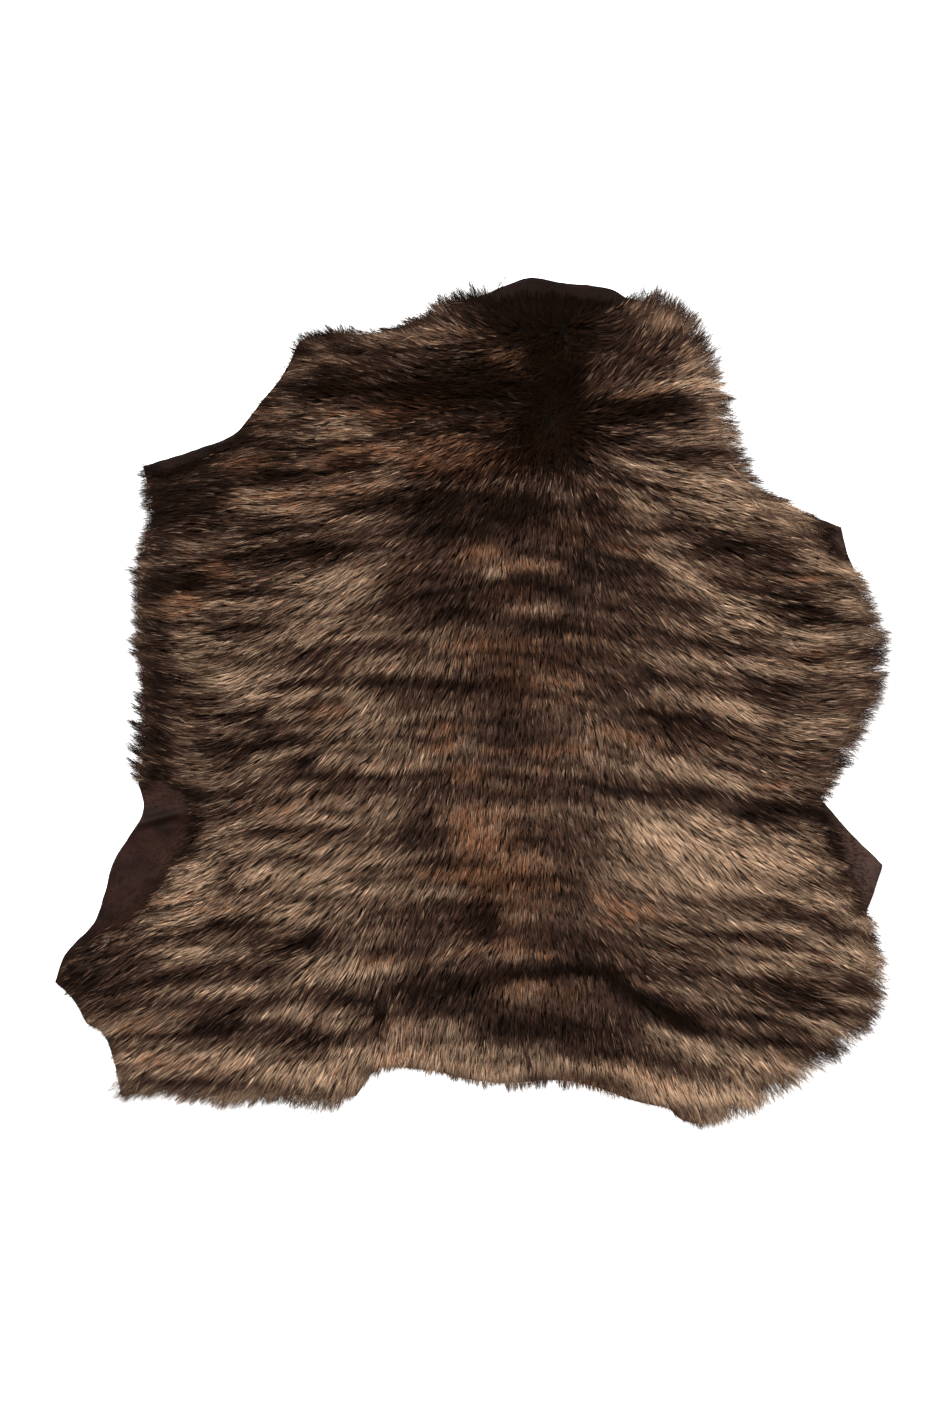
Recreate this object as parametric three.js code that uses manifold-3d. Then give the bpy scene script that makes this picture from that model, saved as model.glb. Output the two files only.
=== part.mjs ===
// A brindle shearling sheepskin laid out flat, wool side up, in millimetres.
// +X is to the right seen from above, +Y points to the neck end, +Z up out of the floor.
// The hide is one sheet of tanned leather. The fleece is the pile that grows on it: a lumpy
// slab with locks round its rim that come down over the cut edge and lie on the floor.

import * as THREE from "three";
import { mergeVertices } from "three/addons/utils/BufferGeometryUtils.js";
import Module from "manifold-3d";

const LEATHER = 2; // thickness of the tanned leather
const PARTING = 0.35; // air between the leather and the underside of the pile
const PILE = 17; // height of the laid pile over the leather
const RIM_PILE = 5; // height of the pile along its foot line
const RIM_RUN = 48; // distance in from the foot line over which it gains its full height
const LUMP = 3.8; // how far the tufts rise and fall about the pile's height
const LUMP_PITCH = 100; // distance from one tuft to the next
const FOOT_INSET = 4; // from the cut edge to the foot of the pile on a furry edge
const EDGE_STEP = 15; // distance between points along the cut edge
const GRID_STEP = 34; // distance between the points of the sheet's and the pile's surface
const HALF_SPAN = 500; // the surfaces are worked out this far each way, then cut to outline
const DEEP = 50; // well under the floor, for the solids that only cut
const LOCK_PITCH = 14; // distance between the locks along a furry edge
const LOCK_WIDTH = 9.5; // width of a lock at its root
const LOCK_SPREAD = 0.35; // share by which pitch, width and reach vary from lock to lock
const LOCK_SWAY = 10; // degrees by which a lock may turn aside, and bend on its way
const LOCK_HEIGHT = 6; // height of a lock at its root
const LOCK_ROOT = 11; // how far a lock starts inside the slab
const LOCK_CLEAR = 0.7; // how far a lock stays over the leather until it is past the edge
const LOCK_DROP = 9; // run in which a lock comes down from the leather to the floor
const LEAST_REACH = 3; // an edge whose hair reaches out less than this has no locks
const STEEPEST_LEAN = 48; // most degrees by which a lock may slant from square to the edge
const SEED = 27;

// The cut edge, clockwise from the neck seen from above. Each row is a point of the edge:
// x and y; reach, how far the hair passes the edge there; and lean, the heading of that
// hair in degrees, 0 to the right and 90 to the neck. A stretch where leather shows has the
// foot line of its pile as rows of x and y.
const STRETCHES = [
  {
    name: "neck",
    edge: [[16, 455, 0, 90], [38, 465, 0, 90], [66, 473, 0, 90], [96, 468, 0, 90], [156, 460, 0, 90],
      [172, 451, 0, 80]],
    foot: [[30, 445], [66, 451], [99, 449], [155, 443]],
  },
  {
    name: "right of the neck",
    edge: [[172, 451, 12, 75], [205, 442, 20, 62], [231, 424, 22, 45], [253, 386, 24, 25],
      [267, 339, 22, 5], [284, 287, 22, 0], [305, 249, 18, -5], [349, 221, 9, -12], [413, 194, 0, -22]],
  },
  {
    name: "right foreleg tip",
    edge: [[413, 194, 0, -22], [420, 166, 0, -22], [426, 151, 4, -20]],
    foot: [[392, 189], [405, 168]],
  },
  {
    name: "right flank",
    edge: [[426, 151, 8, -20], [435, 108, 18, -8], [444, 68, 24, 0], [441, 18, 24, 2],
      [424, -24, 26, 2], [403, -67, 22, -5], [390, -109, 6, -8]],
  },
  {
    name: "right hind flap",
    edge: [[390, -109, 0, -10], [423, -147, 0, -20], [459, -184, 0, -20], [452, -208, 0, -20],
      [442, -236, 0, -25]],
    foot: [[386, -122], [402, -144], [411, -170], [420, -198], [432, -232]],
  },
  {
    name: "right haunch",
    edge: [[442, -236, 8, -25], [446, -277, 18, -30], [439, -335, 24, -35], [408, -374, 26, -38],
      [356, -412, 24, -42], [305, -445, 20, -55], [252, -474, 4, -62]],
  },
  {
    name: "cut right of the tail",
    edge: [[252, -474, 0, -62], [234, -469, 0, -64], [221, -458, 0, -66], [185, -449, 0, -68],
      [143, -434, 4, -75]],
  },
  {
    name: "tail",
    edge: [[143, -434, 6, -75], [99, -425, 9, -82], [38, -428, 10, -90], [-2, -424, 8, -92],
      [-47, -414, 5, -95], [-97, -410, 3, -100]],
  },
  {
    name: "cut left of the tail",
    edge: [[-97, -410, 3, -105], [-112, -418, 4, -110], [-130, -443, 6, -115]],
  },
  {
    name: "left haunch",
    edge: [[-130, -443, 10, -120], [-172, -445, 16, -122], [-215, -440, 12, -125],
      [-273, -444, 14, -130], [-340, -436, 12, -135], [-393, -443, 4, -140]],
  },
  {
    name: "cut of the left haunch",
    edge: [[-393, -443, 0, -140], [-398, -416, 0, -145], [-414, -371, 0, -150],
      [-430, -362, 0, -150], [-446, -335, 0, -155], [-467, -315, 0, -160]],
  },
  {
    name: "left hind flap",
    edge: [[-467, -315, 0, 180], [-455, -283, 0, 180], [-423, -248, 0, 180], [-411, -214, 0, 180],
      [-402, -181, 0, 180], [-385, -154, 0, 180], [-371, -133, 0, 180], [-368, -114, 0, 180],
      [-373, -95, 0, 180]],
    foot: [[-455, -310], [-441, -283], [-405, -257], [-378, -248], [-361, -229], [-341, -203],
      [-328, -181], [-315, -154], [-312, -108], [-346, -86]],
  },
  {
    name: "left flank",
    edge: [[-373, -95, 8, 150], [-367, -53, 22, 155], [-366, 12, 20, 168], [-370, 68, 24, 172],
      [-368, 124, 24, 165], [-361, 174, 14, 175], [-357, 216, 16, 190], [-368, 262, 4, 200]],
  },
  {
    name: "cut of the left foreleg",
    edge: [[-368, 262, 0, 180], [-307, 282, 0, 170], [-267, 298, 0, 165], [-235, 335, 0, 165],
      [-211, 366, 0, 160], [-193, 402, 0, 160]],
    foot: [[-352, 255], [-305, 273], [-263, 289], [-229, 326], [-205, 358], [-188, 396]],
  },
  {
    name: "left of the neck",
    edge: [[-193, 402, 6, 150], [-161, 410, 14, 130], [-112, 410, 6, 130], [-63, 425, 6, 130],
      [-22, 444, 12, 130], [16, 455, 6, 120]],
  },
];

// Low folds in the leather where it stands off the floor: a ridge from x, y to toX, toY.
const FOLDS = [
  { x: -376, y: -140, toX: -312, toY: -121, rise: 5, width: 11 },
  { x: -30, y: -268, toX: 95, toY: -281, rise: 5, width: 26 },
  { x: 95, y: -281, toX: 172, toY: -294, rise: 6, width: 26 },
  { x: 172, y: -294, toX: 262, toY: -352, rise: 5, width: 26 },
  { x: -196, y: -250, toX: -150, toY: -300, rise: 4, width: 24 },
  { x: 459, y: -188, toX: 462, toY: -180, rise: 4, width: 30 },
  { x: 60, y: 478, toX: 130, toY: 472, rise: 3, width: 20 },
];

// Hollows in the pile, where it parts or falls into a crease, as troughs like the folds.
const HOLLOWS = [
  { x: -8, y: -292, toX: 76, toY: -304, rise: -7, width: 15 },
  { x: 76, y: -304, toX: 157, toY: -311, rise: -9, width: 17 },
  { x: 157, y: -311, toX: 255, toY: -372, rise: -9, width: 18 },
  { x: -188, y: -270, toX: -168, toY: -256, rise: -7, width: 16 },
  { x: -150, y: -333, toX: -100, toY: -358, rise: -7, width: 18 },
  { x: -11, y: -226, toX: 29, toY: -268, rise: -5, width: 18 },
  { x: 82, y: 297, toX: 96, toY: 385, rise: -7, width: 30 },
  { x: 82, y: 297, toX: 64, toY: 232, rise: -4, width: 26 },
];

// Lines of the surface grid: bands with a finer step where a fold crosses them.
const FINE_BANDS_Y = [
  { from: -160, to: -105, step: 11 },
  { from: -385, to: -250, step: 24 },
];

const wasm = await Module();
wasm.setup();

function seeded(seed) {
  let state = seed;
  return () => {
    state = (state * 1664525 + 1013904223) % 4294967296;
    return state / 4294967296;
  };
}

function ease(t) {
  const clamped = Math.min(Math.max(t, 0), 1);
  return clamped * clamped * (3 - 2 * clamped);
}

function distanceToSegment(x, y, ax, ay, bx, by) {
  const spanX = bx - ax;
  const spanY = by - ay;
  const along = ((x - ax) * spanX + (y - ay) * spanY) / (spanX * spanX + spanY * spanY);
  const t = Math.min(Math.max(along, 0), 1);
  return Math.hypot(x - ax - spanX * t, y - ay - spanY * t);
}

function troughs(table, x, y) {
  let height = 0;
  for (const row of table) {
    const away = distanceToSegment(x, y, row.x, row.y, row.toX, row.toY);
    const here = row.rise * Math.exp(-((away / row.width) ** 2));
    if (Math.abs(here) > Math.abs(height)) height = here;
  }
  return Math.abs(height) < 0.05 ? 0 : height;
}

// Points along the cut edge, with the reach and the lean of the hair between the rows.
function edgeSamples(stretch) {
  const rows = stretch.edge.map(([x, y, reach, lean]) => ({ x, y, reach, lean }));
  const line = new THREE.CatmullRomCurve3(
    rows.map((row) => new THREE.Vector3(row.x, row.y, 0)), false, "centripetal");
  const samples = [];
  for (let i = 0; i < rows.length - 1; i += 1) {
    const a = rows[i];
    const b = rows[i + 1];
    const steps = Math.max(1, Math.round(Math.hypot(b.x - a.x, b.y - a.y) / EDGE_STEP));
    for (let k = 0; k < steps; k += 1) {
      const t = k / steps;
      const point = line.getPoint((i + t) / (rows.length - 1));
      samples.push({
        x: point.x,
        y: point.y,
        reach: THREE.MathUtils.lerp(a.reach, b.reach, t),
        lean: THREE.MathUtils.lerp(a.lean, b.lean, t),
        stretch,
      });
    }
  }
  return samples;
}

// The outline runs clockwise, so the outward side is to the left of its direction.
function addNormals(points) {
  points.forEach((point, i) => {
    const before = points[(i + points.length - 1) % points.length];
    const after = points[(i + 1) % points.length];
    const length = Math.hypot(after.x - before.x, after.y - before.y);
    point.outX = -(after.y - before.y) / length;
    point.outY = (after.x - before.x) / length;
  });
}

const edge = STRETCHES.flatMap(edgeSamples);
addNormals(edge);

// The foot of the pile: the cut edge moved in a little, or the stretch's own foot line.
function footLine() {
  return STRETCHES.flatMap((stretch) => {
    if (stretch.foot) return stretch.foot.map(([x, y]) => ({ x, y }));
    return edge
      .filter((point) => point.stretch === stretch)
      .slice(1)
      .map((point) => ({
        x: point.x - point.outX * FOOT_INSET,
        y: point.y - point.outY * FOOT_INSET,
      }));
  });
}

const foot = footLine();

function insideFoot(x, y) {
  let inside = false;
  foot.forEach((a, i) => {
    const b = foot[(i + 1) % foot.length];
    const crosses = (a.y > y) !== (b.y > y);
    if (crosses && x < a.x + ((b.x - a.x) * (y - a.y)) / (b.y - a.y)) inside = !inside;
  });
  return inside;
}

function distanceInside(x, y) {
  if (!insideFoot(x, y)) return 0;
  let least = Infinity;
  foot.forEach((a, i) => {
    const b = foot[(i + 1) % foot.length];
    least = Math.min(least, distanceToSegment(x, y, a.x, a.y, b.x, b.y));
  });
  return least;
}

function floorOfLeather(x, y) {
  return troughs(FOLDS, x, y);
}

function undersideOfPile(x, y) {
  return floorOfLeather(x, y) + LEATHER + PARTING;
}

function lumps(x, y) {
  const turn = (2 * Math.PI) / LUMP_PITCH;
  const across = Math.sin(turn * (x + 0.3 * y) + 0.9 * Math.sin(turn * 0.55 * y));
  const alongSkin = Math.sin(turn * (0.9 * y - 0.2 * x) + 1.1 * Math.sin(turn * 0.45 * x));
  return LUMP * 0.5 * (across + alongSkin);
}

function topOfPile(x, y) {
  const gain = ease(distanceInside(x, y) / RIM_RUN);
  const full = PILE + lumps(x, y) + troughs(HOLLOWS, x, y);
  return undersideOfPile(x, y) + RIM_PILE + (full - RIM_PILE) * gain;
}

function gridLines(bands) {
  const lines = [];
  let at = -HALF_SPAN;
  while (at < HALF_SPAN) {
    lines.push(at);
    const here = at;
    const band = bands.find((row) => here >= row.from && here < row.to);
    const next = bands.find((row) => here < row.from && here + GRID_STEP > row.from);
    at = band ? at + band.step : Math.min(at + GRID_STEP, next ? next.from : Infinity);
  }
  lines.push(HALF_SPAN);
  return lines;
}

// A block of many cells whose upper and lower faces follow two height functions.
function layer(bottom, top) {
  const linesX = gridLines([]);
  const linesY = gridLines(FINE_BANDS_Y);
  const cellsX = linesX.length - 1;
  const cellsY = linesY.length - 1;
  const block = new THREE.BoxGeometry(1, 1, 1, cellsX, cellsY, 1);
  const position = block.attributes.position;
  for (let i = 0; i < position.count; i += 1) {
    const x = linesX[Math.round((position.getX(i) + 0.5) * cellsX)];
    const y = linesY[Math.round((position.getY(i) + 0.5) * cellsY)];
    position.setXYZ(i, x, y, position.getZ(i) > 0 ? top(x, y) : bottom(x, y));
  }
  return solidFrom(block);
}

function outlineSolid(points) {
  const shape = new THREE.Shape(points.map((point) => new THREE.Vector2(point.x, point.y)));
  const prism = new THREE.ExtrudeGeometry(shape, { depth: 2 * DEEP, bevelEnabled: false });
  prism.translate(0, 0, -DEEP);
  return solidFrom(prism);
}

// The leather and the air round it, which the pile keeps out of.
function leatherSpace() {
  const wider = edge.map((point) => ({
    x: point.x + point.outX * PARTING,
    y: point.y + point.outY * PARTING,
  }));
  return layer(() => -DEEP, undersideOfPile).intersect(outlineSolid(wider));
}

// One lock: a four-sided cone bent along its path. Its flat underside passes over the cut
// edge, comes down and lies level on the floor as far as its tip.
function lock(start, heading, turn, overEdge, reach, width) {
  const stations = [
    { run: -LOCK_ROOT, under: LEATHER + PARTING + LOCK_CLEAR, wide: 1, high: 1 },
    { run: overEdge, under: LEATHER + PARTING + LOCK_CLEAR, wide: 1, high: 0.85 },
    { run: overEdge + LOCK_DROP * 0.6, under: 0, wide: 0.72, high: 0.85 },
    { run: overEdge + reach, under: 0, wide: 0, high: 0 },
  ];
  const sides = 4;
  const last = stations.length - 1;
  const cone = new THREE.ConeGeometry(Math.SQRT2, 1, sides, last, false, Math.PI / sides);
  const path = [];
  let x = start.x;
  let y = start.y;
  let run = 0;
  stations.forEach((station, i) => {
    const angle = THREE.MathUtils.degToRad(heading + (turn * i) / last);
    x += Math.cos(angle) * (station.run - run);
    y += Math.sin(angle) * (station.run - run);
    run = station.run;
    path.push({ x, y, angle, ...station });
  });
  const position = cone.attributes.position;
  for (let i = 0; i < position.count; i += 1) {
    const v = position.getY(i) + 0.5;
    const at = path[Math.round(v * last)];
    const narrowing = Math.max(1 - v, 1e-6);
    const side = at.wide === 0 ? 0 : position.getX(i) / narrowing;
    const up = at.wide === 0 ? 0 : position.getZ(i) / narrowing;
    const half = (side * at.wide * width) / 2;
    position.setXYZ(
      i,
      at.x + Math.sin(at.angle) * half,
      at.y - Math.cos(at.angle) * half,
      at.under + ((up + 1) / 2) * at.high * LOCK_HEIGHT,
    );
  }
  return solidFrom(cone);
}

function rimLocks() {
  const random = seeded(SEED);
  const vary = (value) => value * (1 + LOCK_SPREAD * (2 * random() - 1));
  const swing = () => LOCK_SWAY * (2 * random() - 1);
  const locks = [];
  let travelled = 0;
  edge.forEach((point, i) => {
    const next = edge[(i + 1) % edge.length];
    const span = Math.hypot(next.x - point.x, next.y - point.y);
    while (travelled < span) {
      const t = travelled / span;
      travelled += vary(LOCK_PITCH);
      const reach = vary(THREE.MathUtils.lerp(point.reach, next.reach, t));
      const lean = point.lean + swing();
      const turn = swing();
      const width = vary(LOCK_WIDTH);
      if (point.stretch.foot || reach < LEAST_REACH) continue;
      const out = THREE.MathUtils.radToDeg(Math.atan2(point.outY, point.outX));
      const off = THREE.MathUtils.euclideanModulo(lean - out + 180, 360) - 180;
      const slant = THREE.MathUtils.clamp(off, -STEEPEST_LEAN, STEEPEST_LEAN);
      const slantAngle = THREE.MathUtils.degToRad(slant);
      const start = {
        x: THREE.MathUtils.lerp(point.x, next.x, t) - point.outX * FOOT_INSET,
        y: THREE.MathUtils.lerp(point.y, next.y, t) - point.outY * FOOT_INSET,
      };
      const overEdge = (FOOT_INSET + 1 + (width / 2) * Math.abs(Math.sin(slantAngle)))
        / Math.cos(slantAngle);
      locks.push(lock(start, out + slant, turn, overEdge, Math.max(reach, LOCK_DROP), width));
    }
    travelled -= span;
  });
  return locks;
}

// A closed geometry as an exact solid: shared points joined, and slivers of no area dropped.
function solidFrom(geometry) {
  const bare = geometry.clone();
  bare.deleteAttribute("normal");
  bare.deleteAttribute("uv");
  const joined = mergeVertices(bare, 1e-4);
  const index = joined.index.array;
  const kept = [];
  for (let i = 0; i < index.length; i += 3) {
    const [a, b, c] = [index[i], index[i + 1], index[i + 2]];
    if (a !== b && b !== c && c !== a) kept.push(a, b, c);
  }
  return new wasm.Manifold(new wasm.Mesh({
    numProp: 3,
    vertProperties: Float32Array.from(joined.attributes.position.array),
    triVerts: Uint32Array.from(kept),
  }));
}

function meshFrom(solid, name, material) {
  const { vertProperties, triVerts } = solid.getMesh();
  const geometry = new THREE.BufferGeometry();
  geometry.setAttribute("position", new THREE.BufferAttribute(vertProperties, 3));
  geometry.setIndex(new THREE.BufferAttribute(triVerts, 1));
  geometry.computeVertexNormals();
  const mesh = new THREE.Mesh(geometry, material);
  mesh.name = name;
  return mesh;
}

function hide() {
  const sheet = layer(floorOfLeather, (x, y) => floorOfLeather(x, y) + LEATHER);
  const leather = new THREE.MeshStandardMaterial({ color: 0x33251f, roughness: 0.72, metalness: 0 });
  return meshFrom(sheet.intersect(outlineSolid(edge)), "hide", leather);
}

function fleece() {
  const slab = layer(() => 0, topOfPile).intersect(outlineSolid(foot));
  const wool = new THREE.MeshStandardMaterial({ color: 0x4a382d, roughness: 0.9, metalness: 0 });
  const whole = rimLocks().reduce((sum, each) => sum.add(each), slab);
  return meshFrom(whole.subtract(leatherSpace()), "fleece", wool);
}

// The origin is on the floor, under the middle of the skin's box.
function centred(...meshes) {
  const group = new THREE.Group();
  group.name = "sheepskin";
  group.add(...meshes);
  const box = new THREE.Box3().setFromObject(group);
  const middle = box.getCenter(new THREE.Vector3());
  group.position.set(-middle.x, -middle.y, -box.min.z);
  return group;
}

export default centred(hide(), fleece());
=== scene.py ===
"""A brindle shearling sheepskin, laid out flat with its wool side up, as a Blender scene.

The hide is a thin sheet of tanned leather. The wool on it is a low dark under wool, dark
partly as painted shade between the strands, and, over it, combed strands that lie along the
skin and pass its cut edge. All tables are in millimetres on the skin: +X is to the right seen
from above, +Y points to the neck end.
"""

import math
from typing import NamedTuple

import bpy
import numpy as np
from bpy.props import FloatProperty, FloatVectorProperty, IntProperty, PointerProperty
from mathutils.geometry import delaunay_2d_cdt
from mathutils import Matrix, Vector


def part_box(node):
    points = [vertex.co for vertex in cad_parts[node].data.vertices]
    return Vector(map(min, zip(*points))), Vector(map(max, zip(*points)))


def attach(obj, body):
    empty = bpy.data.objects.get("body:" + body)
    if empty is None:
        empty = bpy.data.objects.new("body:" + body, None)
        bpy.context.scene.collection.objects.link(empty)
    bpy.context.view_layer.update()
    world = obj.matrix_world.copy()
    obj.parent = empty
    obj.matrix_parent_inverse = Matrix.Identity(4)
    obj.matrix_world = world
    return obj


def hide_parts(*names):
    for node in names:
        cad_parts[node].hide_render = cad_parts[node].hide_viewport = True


bl_info = {
    "name": "Shearling sheepskin",
    "version": (1, 0, 0),
    "blender": (4, 5, 0),
    "location": "3D View > Sidebar > Sheepskin",
    "description": "Builds a brindle shearling sheepskin of leather and combed wool",
    "category": "Object",
}

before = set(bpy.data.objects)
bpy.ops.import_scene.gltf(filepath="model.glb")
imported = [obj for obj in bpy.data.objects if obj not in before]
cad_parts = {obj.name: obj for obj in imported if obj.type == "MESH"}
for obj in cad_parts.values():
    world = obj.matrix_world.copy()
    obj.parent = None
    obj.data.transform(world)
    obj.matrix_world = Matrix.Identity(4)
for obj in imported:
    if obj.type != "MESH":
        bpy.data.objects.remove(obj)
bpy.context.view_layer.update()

MM = 0.001
BODY = "root"

# The image that the camera is framed for, and the scale of the skin in it.
IMAGE_WIDTH = 948
IMAGE_HEIGHT = 1422
MM_PER_PIXEL = 1.12
IMAGE_MIDDLE = (2.2, -11.8)  # the point of the skin under the middle of the image

SEED = 27


class Stretch(NamedTuple):
    """A stretch of the cut edge. Rows of edge are x, y, reach of the hair past the edge and
    the hair's heading there. Rows of foot are x, y of the foot line of the wool, where
    leather shows along the edge, and cover is how far the hair passes that line."""

    name: str
    edge: tuple
    foot: tuple = ()
    cover: float = 0.0


# Clockwise from the neck seen from above. A heading is 0 to the right and 90 to the neck.
STRETCHES = (
    Stretch("neck",
        ((16, 455, 0, 90), (38, 465, 0, 90), (66, 473, 0, 90), (96, 468, 0, 90), (156, 460, 0, 90),
         (172, 451, 0, 80)),
        ((30, 445), (66, 451), (99, 449), (155, 443)),
        18),
    Stretch("right of the neck",
        ((172, 451, 12, 75), (205, 442, 20, 62), (231, 424, 22, 45), (253, 386, 24, 25),
         (267, 339, 22, 5), (284, 287, 22, 0), (305, 249, 18, -5), (349, 221, 9, -12),
         (413, 194, 0, -22))),
    Stretch("right foreleg tip",
        ((413, 194, 0, -22), (420, 166, 0, -22), (426, 151, 4, -20)),
        ((392, 189), (405, 168)),
        8),
    Stretch("right flank",
        ((426, 151, 8, -20), (435, 108, 18, -8), (444, 68, 24, 0), (441, 18, 24, 2), (424, -24, 26, 2),
         (403, -67, 22, -5), (390, -109, 6, -8))),
    Stretch("upper side of the right hind flap",
        ((390, -109, 0, -10), (423, -147, 0, -20), (459, -184, 0, -20)),
        ((386, -122), (402, -144), (411, -170)),
        14),
    Stretch("lower side of the right hind flap",
        ((459, -184, 0, -20), (452, -208, 0, -20), (442, -236, 0, -25)),
        ((411, -170), (420, -198), (432, -232)),
        14),
    Stretch("right haunch",
        ((442, -236, 8, -25), (446, -277, 18, -30), (439, -335, 24, -35), (408, -374, 26, -38),
         (356, -412, 24, -42), (305, -445, 20, -55), (252, -474, 4, -62))),
    Stretch("cut right of the tail",
        ((252, -474, 0, -62), (234, -469, 0, -64), (221, -458, 0, -66), (185, -449, 0, -68),
         (143, -434, 4, -75))),
    Stretch("tail",
        ((143, -434, 6, -75), (99, -425, 9, -82), (38, -428, 10, -90), (-2, -424, 8, -92),
         (-47, -414, 5, -95), (-97, -410, 3, -100))),
    Stretch("cut left of the tail",
        ((-97, -410, 3, -105), (-112, -418, 4, -110), (-130, -443, 6, -115))),
    Stretch("left haunch",
        ((-130, -443, 10, -120), (-172, -445, 16, -122), (-215, -440, 12, -125), (-273, -444, 14, -130),
         (-340, -436, 12, -135), (-393, -443, 4, -140))),
    Stretch("cut of the left haunch",
        ((-393, -443, 0, -140), (-398, -416, 0, -145), (-414, -371, 0, -150), (-430, -362, 0, -150),
         (-446, -335, 0, -155), (-467, -315, 0, -160))),
    Stretch("left hind flap",
        ((-467, -315, 0, 180), (-455, -283, 0, 180), (-423, -248, 0, 180), (-411, -214, 0, 180),
         (-402, -181, 0, 180), (-385, -154, 0, 180), (-371, -133, 0, 180), (-368, -114, 0, 180),
         (-373, -95, 0, 180)),
        ((-455, -310), (-441, -283), (-405, -257), (-378, -248), (-361, -229), (-341, -203),
         (-328, -181), (-315, -154), (-312, -108), (-346, -86)),
        17),
    Stretch("left flank",
        ((-373, -95, 3, 150), (-367, -53, 5, 150), (-366, 12, 5, 155), (-370, 68, 6, 158),
         (-368, 124, 9, 158), (-361, 174, 11, 172), (-357, 216, 7, 190), (-368, 262, 4, 200))),
    Stretch("cut of the left foreleg",
        ((-368, 262, 0, 180), (-307, 282, 0, 170), (-267, 298, 0, 165), (-235, 335, 0, 165),
         (-211, 366, 0, 160), (-193, 402, 0, 160)),
        ((-352, 255), (-305, 273), (-264, 292), (-232, 331), (-208, 362), (-190, 399)),
        9),
    Stretch("left of the neck",
        ((-193, 402, 6, 150), (-161, 410, 14, 130), (-112, 410, 6, 130), (-63, 425, 6, 130),
         (-22, 444, 12, 130), (16, 455, 6, 120))),
)


class Trough(NamedTuple):
    """A low ridge, or a trough where rise is negative, from one point to another."""

    x: float
    y: float
    to_x: float
    to_y: float
    rise: float
    width: float


FOLDS = (
    Trough(-376, -140, -312, -121, 5, 11),
    Trough(-30, -268, 95, -281, 5, 26),
    Trough(95, -281, 172, -294, 6, 26),
    Trough(172, -294, 262, -352, 5, 26),
    Trough(-196, -250, -150, -300, 4, 24),
    Trough(459, -188, 462, -180, 4, 30),
    Trough(60, 478, 130, 472, 3, 20),
)

# Sharp creases in the bare leather.
CREASES = (
    Trough(-376, -138, -326, -125, 3.4, 3.4),
    Trough(-374, -147, -332, -135, -2.2, 3.6),
    Trough(-372, -129, -322, -116, -1.3, 3.0),
    Trough(-366, -112, -334, -104, 0.7, 3.0),
    Trough(-404, -214, -352, -196, 0.8, 5.0),
    Trough(-418, -252, -380, -226, 0.7, 5.0),
    Trough(418, -150, 430, -196, 0.8, 5.0),
)

HOLLOWS = (
    Trough(-8, -292, 76, -304, -7, 15),
    Trough(76, -304, 157, -311, -9, 17),
    Trough(157, -311, 255, -372, -9, 18),
    Trough(-188, -270, -168, -256, -7, 16),
    Trough(-150, -333, -100, -358, -7, 18),
    Trough(-11, -226, 29, -268, -5, 18),
    Trough(82, 297, 96, 385, -7, 30),
    Trough(82, 297, 64, 232, -4, 26),
)

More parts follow.
